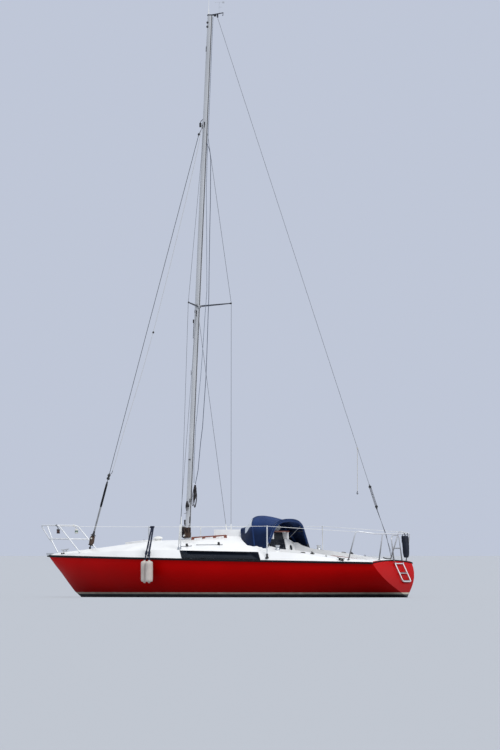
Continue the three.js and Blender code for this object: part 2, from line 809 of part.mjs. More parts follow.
function makeMast() {

	const ring = ( z, length, width ) => Array.from( { length: MAST.sides }, ( _, i ) => {

		const turn = i / MAST.sides * Math.PI * 2;
		return at( mastAft( z ) + length / 2 * Math.cos( turn ), width / 2 * Math.sin( turn ), z );

	} );
	return loft( [
		ring( MAST.foot, MAST.length, MAST.width ),
		ring( MAST.taperFrom, MAST.length, MAST.width ),
		ring( MAST.top, MAST.topLength, MAST.topWidth ),
	] );

}

add( 'mast', makeMast(), alloy );

function makeMastStep() {

	const { length, width, low } = MAST_STEP;
	const fore = MAST.aft - length / 2;
	return solidOf( block( fore, fore + length, - width / 2, width / 2, low, MAST.foot - GAP ) );

}

add( 'mast_step', standsOnDeck( makeMastStep() ), alloy );

// The bar on the masthead, which rises aft to a hook, with the lug that the
// backstay hangs from.
function makeCrane() {

	const c = CRANE;
	const half = c.width / 2;
	const ring = ( aft, z, tall ) => [
		at( aft, - half, z ), at( aft, half, z ), at( aft, half, z + tall ), at( aft, - half, z + tall ),
	];
	const low = MAST.top + GAP;
	const hook = at( c.hookAft, 0, c.tipZ + c.tipHeight / 2 );
	return joined( [
		loft( [ ring( c.fore, low, c.height ), ring( c.bend, low, c.height ), ring( c.aft, c.tipZ, c.tipHeight ) ] ),
		block( c.lugFore, c.lugAft, - c.lugWidth / 2, c.lugWidth / 2, c.lugLow, c.tipZ ),
		rod( hook, lowered( hook, c.hookDrop ), c.hookRadius ),
	] );

}

add( 'masthead_crane', geometryOf( makeCrane() ), alloy );

const craneTop = MAST.top + CRANE.height + GAP * 2;

function makeAerial() {

	const { aft, height, radius, baseHeight, baseRadius } = AERIAL;
	return joined( [
		rod( at( aft, 0, craneTop ), at( aft, 0, craneTop + baseHeight ), baseRadius ),
		rod( at( aft, 0, craneTop + baseHeight / 2 ), at( aft, 0, craneTop + height ), radius ),
	] );

}

add( 'vhf_aerial', geometryOf( makeAerial() ), paint( COLOUR.white, 0.4, 0 ) );

function makeSpreader( side ) {

	const { root, rootAft, tip, tipAft, tipOut, radius, tipShare, off } = SPREADER;
	const inner = at( mastAft( root ) + rootAft, side * ( MAST.width / 2 + off ), root );
	return rod( inner, at( tipAft, side * tipOut, tip ), radius, 10, radius * tipShare );

}

add( 'spreader_port', makeSpreader( 1 ), alloy );
add( 'spreader_starboard', makeSpreader( - 1 ), alloy );

// A wire that ends in a rigging screw on a plate that stands on the deck.
function makeShroud( points ) {

	const foot = points[ points.length - 1 ];
	const up = points[ points.length - 2 ].clone().sub( foot ).normalize();
	const screwTop = foot.clone().addScaledVector( up, SCREW.length );
	const pieces = pipework( [ points ], WIRE, 6 );
	pieces.push( rod( foot.clone().addScaledVector( up, - SUNK ), screwTop, SCREW.radius ) );
	const plate = new THREE.BoxGeometry( CHAINPLATE.length, CHAINPLATE.thickness, CHAINPLATE.height );
	pieces.push( moved( plate, foot.x, foot.y, foot.z - SUNK ) );
	return joined( pieces );

}

function plateFoot( plate, side ) {

	return at( plate.aft, side * plate.y, deckZ( plate.aft, plate.y ) + CHAINPLATE.rise );

}

for ( const [ word, side ] of [ [ 'port', 1 ], [ 'starboard', - 1 ] ] ) {

	const atMast = side * ( MAST.width / 2 + SHROUD_OFF );
	const capTop = at( mastAft( HOUNDS.capZ ), atMast, HOUNDS.capZ );
	const tip = at( SPREADER.tipAft, side * ( SPREADER.tipOut + SHROUD_OFF * 3 ), SPREADER.tip );
	const lowerTop = at( mastAft( HOUNDS.lowerZ ), atMast, HOUNDS.lowerZ );
	const cap = makeShroud( [ capTop, tip, plateFoot( CAP_PLATE, side ) ] );
	const lower = makeShroud( [ lowerTop, plateFoot( LOWER_PLATE, side ) ] );
	add( `cap_shroud_${ word }`, standsOnDeck( cap ), steel );
	add( `lower_shroud_${ word }`, standsOnDeck( lower ), steel );

}

const forestayTop = at( HOUNDS.foreAft, 0, HOUNDS.foreZ );
const forestayFoot = at( FORESTAY_FOOT.aft, 0, crownZ( FORESTAY_FOOT.aft ) + CHAINPLATE.rise );

function makeForestay() {

	const reach = ( FORESTAY_FOOT.rope - forestayFoot.z ) / ( forestayTop.z - forestayFoot.z );
	const along = ( share ) => forestayFoot.clone().lerp( forestayTop, reach * share );
	const tang = at( mastAft( HOUNDS.tangZ ) - MAST.length / 2 - SHROUD_OFF, 0, HOUNDS.tangZ );
	return joined( [
		...pipework( [ [ forestayFoot, forestayTop, tang ] ], WIRE, 6 ),
		rod( along( FURLER.drumStart * 2 ), along( 1 ), FURLER.foilRadius ),
		rod( along( FURLER.drumStart ), along( FURLER.drumEnd ), FURLER.drumRadius, 12 ),
		rod( lowered( forestayFoot, FURLER.footDepth ), along( FURLER.drumStart * 3 ), FURLER.footRadius ),
	] );

}

add( 'forestay', standsOnDeck( makeForestay() ), steel );

const backstayTop = at( BACKSTAY.topAft, 0, BACKSTAY.topZ );
const backstayFoot = plateFoot( { aft: BACKSTAY.footAft, y: BACKSTAY.footY }, 1 );

function onBackstay( z ) {

	return backstayFoot.clone().lerp( backstayTop, ( z - backstayFoot.z ) / ( backstayTop.z - backstayFoot.z ) );

}

add( 'backstay', standsOnDeck( joined( [
	rod( backstayFoot, backstayTop, WIRE, 6 ),
	rod( lowered( backstayFoot, CHAINPLATE.height / 2 ), onBackstay( BACKSTAY.tackle ), TACKLE_RADIUS ),
] ) ), steel );

function makePulpit() {

	const p = PULPIT;
	const runs = [];
	for ( const side of [ 1, - 1 ] ) {

		const tip = at( p.tipAft, side * p.tipOut, p.top );
		const corner = at( p.legAft, side * p.legOut, p.top );
		const base = at( p.baseAft, side * p.baseOut, deckZ( p.baseAft, p.baseOut ) - SUNK );
		const drop = ( p.top - p.midZ ) / ( p.top - base.z );
		const fork = at( p.forkAft - p.forkOut / 2, side * p.forkOut, p.forkZ + p.forkOut );
		runs.push( [ at( p.forkAft, 0, p.forkZ ), fork, tip, corner, base ] );
		runs.push( [ fork, corner.clone().lerp( base, drop ) ] );

	}

	runs.push( [ at( p.forkAft, 0, p.forkZ + RAIL_RADIUS / 2 ), at( p.footAft, 0, crownZ( p.footAft ) - SUNK ) ] );
	return joined( pipework( runs, RAIL_RADIUS ) );

}

add( 'pulpit', standsOnDeck( makePulpit() ), steel );

function makePushpit() {

	const p = PUSHPIT;
	const foreTop = ( side ) => at( p.foreAft, side * p.foreOut, p.foreTop );
	const foreBase = ( side ) => at( p.baseAft, side * p.baseOut, deckZ( p.baseAft, p.baseOut ) - SUNK );
	const corner = ( side ) => at( p.cornerAft, side * p.starboardLeg, p.top + RAIL_RADIUS / 2 );
	const leg = ( y ) => [ at( p.cornerAft, y, p.top ), at( p.footAft, y, deckZ( p.footAft, y ) - SUNK ) ];
	return joined( pipework( [
		[ foreBase( 1 ), foreTop( 1 ), corner( 1 ), corner( - 1 ), foreTop( - 1 ), foreBase( - 1 ) ],
		leg( p.portLeg ),
		leg( - p.starboardLeg ),
	], RAIL_RADIUS ) );

}

add( 'pushpit', standsOnDeck( makePushpit() ), steel );

// The guard rail of one side: two stanchions and the wire through their tops.
function makeGuardRail( side ) {

	const posts = STANCHIONS.map( ( { aft, top } ) => {

		const y = side * ( sample( HULL_SECTIONS, aft, 'beam' ) - STANCHION.inset );
		return { foot: at( aft, y, sheerZ( aft ) + SUNK ), top: at( aft, y, top ) };

	} );
	const start = { aft: PULPIT.legAft + LIFELINE_START.aft, out: PULPIT.legOut + LIFELINE_START.out };
	const end = { aft: PUSHPIT.foreAft - LIFELINE_END.fore, out: PUSHPIT.foreOut + LIFELINE_END.out };
	const wire = [
		at( start.aft, side * start.out, PULPIT.top - LIFELINE_START.down ),
		...posts.map( ( post ) => post.top ),
		at( end.aft, side * end.out, PUSHPIT.foreTop - LIFELINE_END.down ),
	];
	const pieces = pipework( [ wire ], LIFELINE, 6 );
	for ( const post of posts ) {

		pieces.push( rod( post.foot, lowered( post.top, - STANCHION.cap ), STANCHION.radius ) );
		pieces.push( rod( post.foot, lowered( post.foot, - STANCHION.socketTop ), STANCHION.socketRadius ) );

	}

	return joined( pieces );

}

add( 'guard_rail_port', standsOnDeck( makeGuardRail( 1 ) ), steel );
add( 'guard_rail_starboard', standsOnDeck( makeGuardRail( - 1 ) ), steel );

// One arch of the sprayhood, from the port foot over the crest to the
// starboard foot.
function hoodArch( arch, count ) {

	const starboard = arch.aft.map( ( aft, i ) => at( aft, - arch.out[ i ], arch.z[ i ] ) );
	const port = arch.aft.map( ( aft, i ) => at( aft, arch.out[ i ], arch.z[ i ] ) ).slice( 1 ).reverse();
	return new THREE.CatmullRomCurve3( [ ...port, ...starboard ] ).getPoints( count );

}

function makeSprayhood() {

	const grid = SPRAYHOOD_ARCHES.map( ( arch ) => hoodArch( arch, SPRAYHOOD.points ) );
	return solidOf( thickSheet( grid, SPRAYHOOD.thickness ) );

}

add( 'sprayhood', standsOnDeck( makeSprayhood() ), paint( COLOUR.navy, 0.85, 0 ) );

// A bow of the sprayhood's frame, which follows an arch from inside.
function hoodBow( arch ) {

	const points = hoodArch( arch, HOOD_BOW.points );
	return points.map( ( point, i ) => {

		const run = points[ Math.min( i + 1, HOOD_BOW.points ) ].clone().sub( points[ Math.max( i - 1, 0 ) ] );
		return point.clone().add( new THREE.Vector3( 0, - run.z, run.y ).setLength( HOOD_BOW.inside ) );

	} );

}

function makeHoodFrame() {

	const bows = [ SPRAYHOOD_ARCHES[ 2 ], SPRAYHOOD_ARCHES[ 4 ] ].map( hoodBow );
	const braces = HOOD_BOW.braces.map( ( i ) => [ bows[ 0 ][ i ], bows[ 1 ][ i ] ] );
	return joined( pipework( [ ...bows, ...braces ], HOOD_BOW.radius ) );

}

add( 'sprayhood_frame', standsOnDeck( makeHoodFrame() ), steel );

function makeWinch( side ) {

	const { aft, y, radius, height } = WINCH;
	const profile = [ [ 0, - 40 ], [ radius, - 40 ], [ radius, 12 ], [ radius * 0.66, 22 ],
		[ radius * 0.62, height * 0.6 ], [ radius * 0.86, height * 0.82 ], [ radius * 0.86, height * 0.94 ],
		[ radius * 0.4, height ], [ 0, height ] ];
	const geometry = new THREE.LatheGeometry( profile.map( ( [ x, z ] ) => new THREE.Vector2( x, z ) ), 20 );
	geometry.rotateX( Math.PI / 2 );
	const place = at( aft, side * y, deckZ( aft, y ) + 6 );
	geometry.translate( place.x, place.y, place.z );
	return solidOf( geometry );

}

add( 'winch_port', standsOnDeck( makeWinch( 1 ) ), steel );
add( 'winch_starboard', standsOnDeck( makeWinch( - 1 ) ), steel );

function makeBowCleat() {

	const { aft, length, rise, radius, legSpread, legLength, legRadius } = BOW_CLEAT;
	const top = crownZ( aft ) + rise;
	const pieces = [ rod( at( aft - length / 2, 0, top ), at( aft + length / 2, 0, top ), radius ) ];
	for ( const x of [ aft - legSpread, aft + legSpread ] ) {

		pieces.push( rod( at( x, 0, top - legLength ), at( x, 0, top ), legRadius ) );

	}

	return joined( pieces );

}

add( 'bow_cleat', standsOnDeck( makeBowCleat() ), blackRubber );

function makeStemFitting() {

	const { fore, aft, width, clear, rise } = STEM_FITTING;
	const low = SHEER_BOW_Z + RUB_RAIL.height / 2 + clear;
	return solidOf( block( fore, aft, - width / 2, width / 2, low, SHEER_BOW_Z + rise ) );

}

add( 'stem_fitting', standsOnDeck( makeStemFitting() ), steel );

function makeNavLamp( side ) {

	const l = NAV_LAMP;
	const top = at( l.aft, side * l.out, l.top );
	return joined( [
		rod( top, lowered( top, l.height ), l.radius, 12 ),
		rod( at( l.armAft, side * l.armOut, l.armTop ), lowered( top, l.height / 4 ), l.armRadius ),
	] );

}

add( 'nav_lamp_port', geometryOf( makeNavLamp( 1 ) ), paint( COLOUR.lampDark, 0.4, 0 ) );
add( 'nav_lamp_starboard', geometryOf( makeNavLamp( - 1 ) ), paint( COLOUR.lampPale, 0.4, 0 ) );

function makeFender( { aft, y, knotAft, knotY, hitchAft, hitchY } ) {

	const { radius, top, bottom, eyeDepth, knotZ, hitchZ, lineRadius } = FENDER;
	const high = top - bottom;
	const profile = [ [ 0, 0 ], [ 20, 0 ], [ 24, 22 ], [ radius * 0.8, 44 ], [ radius, 80 ], [ radius, high - 80 ],
		[ radius * 0.8, high - 44 ], [ 24, high - 22 ], [ 20, high ], [ 0, high ] ];
	const geometry = new THREE.LatheGeometry( profile.map( ( [ x, z ] ) => new THREE.Vector2( x, z ) ), 18 );
	geometry.rotateX( Math.PI / 2 );
	const foot = at( aft, y, bottom );
	geometry.translate( foot.x, foot.y, foot.z );
	const line = [ at( aft, y, top - eyeDepth ), at( knotAft, knotY, knotZ ), at( hitchAft, hitchY, hitchZ ) ];
	return joined( [ geometry, ...pipework( [ line ], lineRadius, 6 ) ] );

}

const fenderPaint = paint( COLOUR.fender, 0.6, 0 );
for ( const fender of FENDERS ) add( fender.name, geometryOf( makeFender( fender ) ), fenderPaint );

// A ring like a foil's section: pointed at both ends and rounder in front.
function foilRing( fore, aft, thickness, z ) {

	const marks = [ [ 0, 0 ], [ 0.04, 0.5 ], [ 0.15, 0.86 ], [ 0.32, 1 ], [ 0.6, 0.75 ], [ 0.85, 0.32 ],
		[ 1, 0.05 ] ];
	const place = ( [ along, wide ], side ) => at( fore + ( aft - fore ) * along, side * wide * thickness / 2, z );
	const back = marks.slice( 1 ).reverse();
	return [ ...marks.map( ( mark ) => place( mark, 1 ) ), ...back.map( ( mark ) => place( mark, - 1 ) ) ];

}

function makeKeel() {

	const k = KEEL;
	const fin = solidOf( loft( [
		foilRing( k.rootFore, k.rootAft, k.thickness, k.root ),
		foilRing( k.tipFore, k.tipAft, k.footThickness, k.foot ),
	] ) );
	return fin.subtract( solidOf( moved( hullGeometry, 0, 0, - GAP ) ) );

}

add( 'keel', geometryOf( makeKeel() ), paint( COLOUR.antifouling, 0.8, 0 ) );

function makeRudder() {

	const r = RUDDER;
	const blade = loft( [
		foilRing( r.rootFore, r.rootAft, r.thickness, r.top ),
		foilRing( r.tipFore, r.tipAft, r.thickness * 0.7, r.foot ),
	] );
	const stock = rod( at( r.stockAft, 0, r.stockFoot ), at( r.stockAft, 0, r.stockTop ), r.stockRadius, 14 );
	return joined( [ blade, stock ] );

}

add( 'rudder', geometryOf( makeRudder() ), paint( COLOUR.antifouling, 0.7, 0 ) );

function makeTiller() {

	const { head, headAft, bendAft, neckAft, tipAft, tipZ, width, height } = TILLER;
	const ring = ( aft, z, wide, tall ) => [
		at( aft, - wide / 2, z - tall / 2 ), at( aft, wide / 2, z - tall / 2 ),
		at( aft, wide / 2, z + tall / 2 ), at( aft, - wide / 2, z + tall / 2 ),
	];
	return loft( [
		ring( headAft, head, width, height ),
		ring( bendAft, head, width, height ),
		ring( neckAft, tipZ, width * 0.6, height * 0.7 ),
		ring( tipAft, tipZ, width * 0.75, height * 0.75 ),
	] );

}

add( 'tiller', makeTiller(), teak );

function makeLadderUpper() {

	const l = LADDER;
	const slope = ( l.deckAft - l.hoopAft ) / ( l.hoopTop - TRANSOM_TOP.z );
	const along = ( z ) => l.hoopAft + slope * ( l.hoopTop - z );
	const legs = [ l.port, l.starboard ];
	const place = ( y, z ) => at( along( z ), y, z );
	return joined( pipework( [
		[ place( l.port, l.legFoot ), place( l.port, l.hoopTop - l.corner ), place( l.port - l.corner, l.hoopTop ),
			place( l.starboard + l.corner, l.hoopTop ), place( l.starboard, l.hoopTop - l.corner ),
			place( l.starboard, l.legFoot ) ],
		legs.map( ( y ) => place( y, l.rung ) ),
	], l.radius ) );

}

add( 'ladder_upper', standsOnDeck( makeLadderUpper() ), steel );

function makeLadderLower() {

	const l = LADDER;
	const place = ( y, z ) => at( transomAft( z ) + l.off, y, z );
	return joined( pipework( [
		[ place( l.port, l.hingeZ ), place( l.port, l.low ), place( l.starboard, l.low ),
			place( l.starboard, l.hingeZ ) ],
		...l.lowRungs.map( ( z ) => [ place( l.port, z ), place( l.starboard, z ) ] ),
	], l.radius ) );

}

add( 'ladder_lower', geometryOf( makeLadderLower() ), steel );

function makeSternBag() {

	const b = STERN_BAG;
	const middle = PUSHPIT.cornerAft - b.forward;
	const ring = ( port, starboard, depth, z ) => [
		at( middle - depth / 2, port, z ), at( middle + depth / 2, port, z ),
		at( middle + depth / 2, starboard, z ), at( middle - depth / 2, starboard, z ),
	];
	return loft( [
		ring( b.footPort, b.footStarboard, b.footDepth, b.bottom ),
		ring( b.bellyPort, b.bellyStarboard, b.depth, b.bellyZ ),
		ring( b.port, b.starboard, b.footDepth, b.top ),
	] );

}

add( 'stern_bag', makeSternBag(), paint( COLOUR.darkNavy, 0.9, 0 ) );

const stropTop = onBackstay( STROP.topZ ).add( new THREE.Vector3( WIRE + STROP.radius + 2, 0, 0 ) );
const stropEnd = new THREE.Vector3( stropTop.x, stropTop.y, STROP.bottomZ );
add( 'strop_line', rod( stropTop, stropEnd, STROP.radius ), paint( COLOUR.rope, 0.8, 0 ) );
add( 'strop_hook', rod( stropEnd.clone().add( new THREE.Vector3( 0, 0, - GAP ) ),
	stropEnd.clone().add( new THREE.Vector3( 0, 0, - STROP.hook ) ), STROP.radius * 1.8 ), steel );

export default yacht;
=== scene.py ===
import math
from contextlib import contextmanager

import bpy
from mathutils import Matrix, Vector
from mathutils.bvhtree import BVHTree


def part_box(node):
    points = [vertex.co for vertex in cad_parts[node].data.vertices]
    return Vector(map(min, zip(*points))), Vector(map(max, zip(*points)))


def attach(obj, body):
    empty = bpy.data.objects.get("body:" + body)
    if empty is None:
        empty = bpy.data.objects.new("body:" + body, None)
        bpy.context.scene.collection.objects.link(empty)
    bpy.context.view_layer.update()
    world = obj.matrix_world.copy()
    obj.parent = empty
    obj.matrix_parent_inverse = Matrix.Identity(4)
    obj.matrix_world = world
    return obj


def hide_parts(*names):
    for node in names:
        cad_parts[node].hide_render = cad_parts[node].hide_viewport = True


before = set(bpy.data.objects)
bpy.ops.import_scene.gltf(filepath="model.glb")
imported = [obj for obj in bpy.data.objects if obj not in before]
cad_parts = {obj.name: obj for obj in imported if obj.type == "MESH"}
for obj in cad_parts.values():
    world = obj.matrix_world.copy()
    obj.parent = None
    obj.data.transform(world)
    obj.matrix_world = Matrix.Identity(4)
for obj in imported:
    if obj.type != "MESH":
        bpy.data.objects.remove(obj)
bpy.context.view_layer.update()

# Camera. It stands on the port side, 26 degrees aft of the beam, a long way
# off and at the height of the deck, and looks up a little at the rig.
VIEW_AZIMUTH = math.radians(206.0)
VIEW_DISTANCE = 415.2
EYE_HEIGHT = 1.1
VIEW_CENTRE = Vector((-0.38, -0.186, 4.275))
back = Vector((math.sin(VIEW_AZIMUTH), -math.cos(VIEW_AZIMUTH), 0))
bpy.ops.object.camera_add()
camera = bpy.context.object
camera.data.lens = 1036.0
camera.data.sensor_width = 36.0
camera.data.clip_end = 1500.0
camera.location = VIEW_CENTRE + back * VIEW_DISTANCE
camera.location.z = EYE_HEIGHT
camera.rotation_euler = (VIEW_CENTRE - camera.location).to_track_quat("-Z", "Y").to_euler()
bpy.context.scene.camera = camera

# Strop. A short length of braided line hangs from a hitch round the backstay,
# with a small blackened steel snap hook on its end.
BOW = 3.83
UP = Vector((0, 0, 1))
SIDES = (("port", 1), ("starboard", -1))


def at(aft, side, up):
    """A place by its distance aft of the bow's tip, to port, and above the water."""
    return Vector((BOW - aft, side, up))


def by(x, y, z):
    """A step forward, to port and up."""
    return Vector((x, y, z))


def alone(obj):
    bpy.ops.object.select_all(action="DESELECT")
    obj.select_set(True)
    bpy.context.view_layer.objects.active = obj


def placed(name, data):
    """Puts a new object in the scene and selects it alone."""
    obj = bpy.data.objects.new(name, data)
    bpy.context.scene.collection.objects.link(obj)
    alone(obj)
    return obj


def smooth(angle):
    bpy.ops.object.shade_smooth_by_angle(angle=math.radians(angle))


def rounded(points, bend, steps=6):
    """The points of a path whose corners are rounded."""
    if not bend:
        return points
    path = [points[0]]
    for before, corner, after in zip(points, points[1:], points[2:]):
        reach = min(bend, (corner - before).length * 0.45, (after - corner).length * 0.45)
        start = corner + (before - corner).normalized() * reach
        end = corner + (after - corner).normalized() * reach
        for step in range(steps + 1):
            t = step / steps
            path.append(start * (1 - t) ** 2 + corner * (2 * t * (1 - t)) + end * t ** 2)
    path.append(points[-1])
    return path


def trace(curve, run):
    """Adds a run of points to a curve."""
    spline = curve.splines.new("POLY")
    spline.points.add(len(run) - 1)
    for point, place in zip(spline.points, run):
        point.co = (*place, 1)
    return spline


def curve_along(runs, radius, detail):
    curve = bpy.data.curves.new("run", "CURVE")
    curve.dimensions = "3D"
    curve.bevel_depth = radius
    curve.bevel_resolution = detail
    curve.use_fill_caps = True
    for run in runs:
        trace(curve, run)
    return placed("run", curve)


def tube(runs, radius, bend=0.06, detail=4):
    """Round tubes along runs of points with rounded corners, as one mesh."""
    curve_along([rounded(run, bend) for run in runs], radius, detail)
    bpy.ops.object.convert(target="MESH")
    smooth(50)
    return bpy.context.object


def joined(parts):
    alone(parts[0])
    for part in parts:
        part.select_set(True)
    bpy.ops.object.join()
    return bpy.context.object


def fitted(parts, name, paint, node=None, body="boat"):
    """Names and paints a finished piece, which rides on its body. It may stand for a node."""
    obj = joined(parts) if isinstance(parts, list) else parts
    obj.name = name
    obj.data.name = name
    obj.data.materials.clear()
    obj.data.materials.append(paint)
    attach(obj, body)
    if node:
        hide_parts(node)
    return obj


def fed(paint, target, inputs):
    """Gives each input of a shader node a value or the output of another node."""
    for key, value in inputs.items():
        if isinstance(value, bpy.types.Node):
            value = value.outputs[0]
        if isinstance(value, bpy.types.NodeSocket):
            paint.node_tree.links.new(value, target.inputs[key])
        else:
            target.inputs[key].default_value = value
    return paint


def wired(paint, kind, inputs, **settings):
    """Adds a shader node to a finish."""
    added = paint.node_tree.nodes.new("ShaderNode" + kind)
    for key, value in settings.items():
        setattr(added, key, value)
    fed(paint, added, inputs)
    return added


def finished(paint, inputs):
    return fed(paint, paint.node_tree.nodes["Principled BSDF"], inputs)


def toned(paint, share, ends, tones):
    """A colour that runs from one tone to another between two ends of a share."""
    ramp = wired(paint, "ValToRGB", {"Fac": share})
    for element, end, tone in zip(ramp.color_ramp.elements, ends, tones):
        element.position = end
        element.color = (*tone, 1)
    return ramp


def raised(paint, height, strength, distance):
    """Gives a finish a relief."""
    relief = wired(paint, "Bump", {"Height": height, "Strength": strength, "Distance": distance})
    return finished(paint, {"Normal": relief})


def own_space(paint):
    return paint.node_tree.nodes["Texture Coordinate"].outputs["Object"]


def surface(name, low, high, scale, gloss, bump=0.0, bump_scale=60.0, metal=0.0, coat=0.0,
            stretch=(1, 1, 1), shine=0.5):
    """A finish that varies between two colours, with uneven gloss and a fine grain."""
    paint = bpy.data.materials.new(name)
    paint.use_nodes = True
    wired(paint, "TexCoord", {})
    lay = wired(paint, "Mapping", {"Vector": own_space(paint), "Scale": stretch})
    patches = wired(paint, "TexNoise", {"Vector": lay, "Scale": scale, "Detail": 5.0})
    colour = toned(paint, patches, (0.3, 0.7), (low, high))
    uneven = wired(paint, "MapRange", {"Value": patches, "To Min": gloss[0], "To Max": gloss[1]})
    finished(paint, {"Base Color": colour, "Roughness": uneven, "Metallic": metal, "Coat Weight": coat,
                     "Specular IOR Level": shine})
    if bump:
        raised(paint, wired(paint, "TexNoise", {"Vector": lay, "Scale": bump_scale}), bump, 0.002)
    return paint


def braided(name, low, high):
    """A rope's finish, with the slanting lay of its strands."""
    paint = surface(name, low, high, 90, (0.75, 0.92))
    strands = wired(paint, "TexWave", {"Vector": own_space(paint), "Scale": 120.0, "Distortion": 0.6},
                    bands_direction="DIAGONAL")
    return raised(paint, strands.outputs["Fac"], 0.6, 0.0015)


rope_pale = braided("rope_pale", (0.4, 0.39, 0.36), (0.62, 0.6, 0.55))
steel_dark = surface("steel_dark", (0.015, 0.015, 0.018), (0.04, 0.04, 0.045), 40, (0.35, 0.55), 0.1, 300,
                     metal=0.4)
steel_bright = surface("steel_bright", (0.5, 0.52, 0.54), (0.68, 0.69, 0.7), 14, (0.16, 0.34), 0.08, 400,
                       metal=0.9)
BACKSTAY_TOP = at(3.607, 0, 11.15)
BACKSTAY_FOOT = at(7.285, -0.15, 0.7414)


def level_on(foot, top, up):
    """The place at a height on the line between two places."""
    return foot.lerp(top, (up - foot.z) / (top.z - foot.z))


def on_backstay(up):
    return level_on(BACKSTAY_FOOT, BACKSTAY_TOP, up)


def wound(middle, radius, turns, pitch, steps=14):
    """The points of a helix round a line, which middle(height) gives."""
    run = []
    for i in range(int(turns * steps) + 1):
        turn = i / steps * math.tau
        run.append(middle(pitch * i / steps) + by(math.cos(turn) * radius[0], math.sin(turn) * radius[1], 0))
    return run


STROP_RADIUS = 0.005
STROP_POINTS = 20
HOOK_BEND = [(0, 0), (0, -0.022), (0.011, -0.032), (0.011, -0.05), (0, -0.061), (-0.012, -0.05),
             (-0.012, -0.036)]
strop_low, strop_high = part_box("strop_line")
strop_top = by((strop_low.x + strop_high.x) / 2, (strop_low.y + strop_high.y) / 2, strop_high.z)
strop_drop = strop_high.z - strop_low.z
strop_path = [strop_top + by(0, 0, -strop_drop * i / STROP_POINTS) for i in range(STROP_POINTS + 1)]
strop = fitted(curve_along([strop_path], STROP_RADIUS, 3), "strop", rope_pale, "strop_line")
hook_top = by(strop_top.x, strop_top.y, strop_low.z)
strop_hook = tube([[hook_top + by(x, 0, z) for x, z in HOOK_BEND]], 0.0065, 0.01)
fitted(strop_hook, "strop_snap_hook", steel_dark, "strop_hook")
hitch = wound(lambda rise: on_backstay(strop_top.z + 0.006 + rise), (0.0085, 0.0085), 4, 0.0085)
fitted(tube([hitch], 0.0042, 0, 3), "strop_hitch", rope_pale)

# Floor and light. A wide pale floor lies at the waterline, under soft studio
# light from a pale sky that is brightest overhead and one large lamp.
bpy.ops.mesh.primitive_plane_add(size=2400, location=(0, 0, 0))
floor = bpy.context.object
floor.name = "floor"
floor_paint = bpy.data.materials.new("floor_paint")
floor_paint.use_nodes = True
finished(floor_paint, {"Base Color": (0.42, 0.44, 0.48, 1), "Roughness": 0.95})
floor.data.materials.append(floor_paint)
bpy.context.scene.view_settings.view_transform = "Standard"
sky = bpy.data.worlds.new("studio_sky")
sky.use_nodes = True
sky_way = wired(sky, "TexCoord", {}).outputs["Generated"]
sky_height = wired(sky, "SeparateXYZ", {"Vector": sky_way}).outputs["Z"]
sky_tones = toned(sky, sky_height, (0.1, 0.75), ((0.55, 0.6, 0.72), (0.95, 0.98, 1.0)))
fed(sky, sky.node_tree.nodes["Background"], {"Color": sky_tones, "Strength": 0.95})
bpy.context.scene.world = sky
bpy.ops.object.light_add(type="SUN", location=(0, 0, 20))
lamp = bpy.context.object
lamp.data.energy = 1.6
lamp.data.angle = math.radians(20)
lamp.rotation_euler = (math.radians(-20), math.radians(-38), 0)

# Hull. It is one moulding of glass fibre in deep red gelcoat, polished, with a
# cream boot stripe painted above the dark antifouling and a raked flat transom.


@contextmanager
def editing(action="SELECT"):
    """Edits the active piece, with all of it selected or none."""
    bpy.ops.object.mode_set(mode="EDIT")
    bpy.ops.mesh.select_all(action=action)
    yield
    bpy.ops.object.mode_set(mode="OBJECT")


def rounded_edge(obj, width, segments, angle=30):
    """Rounds the sharp edges of a piece."""
    bevel = obj.modifiers.new("edge", "BEVEL")
    bevel.width = width
    bevel.segments = segments
    bevel.limit_method = "ANGLE"
    bevel.angle_limit = math.radians(angle)
    bpy.ops.object.modifier_apply(modifier="edge")


def shell_of(node, soften=0.0, angle=35, segments=2):
    """A smooth copy of a node's own shape, with its sharp edges rounded."""
    obj = placed(node + "_skin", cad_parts[node].data.copy())
    with editing():
        bpy.ops.mesh.remove_doubles(threshold=0.00005)
        if soften:
            bpy.ops.mesh.dissolve_limited(angle_limit=math.radians(1))
    bpy.ops.mesh.customdata_custom_splitnormals_clear()
    if soften:
        rounded_edge(obj, soften, segments, angle)
    smooth(angle)
    return obj


def repainted(obj, paint, chosen):
    """Gives the chosen faces of a piece another finish."""
    obj.data.materials.append(paint)
    for face in obj.data.polygons:
        if chosen(face):
            face.material_index = len(obj.data.materials) - 1


def painted_shade_below(paint, low, high, share):
    """Darkens a finish towards a lower height: painted shade, as less light reaches it there."""
    height = wired(paint, "SeparateXYZ", {"Vector": own_space(paint)}).outputs["Z"]
    shade_share = wired(paint, "MapRange", {"Value": height, "From Min": low, "From Max": high, "To Min": share})
    colour = paint.node_tree.nodes["Color Ramp"]
    darker = wired(paint, "VectorMath", {0: colour, "Scale": shade_share}, operation="SCALE")
    return finished(paint, {"Base Color": darker})


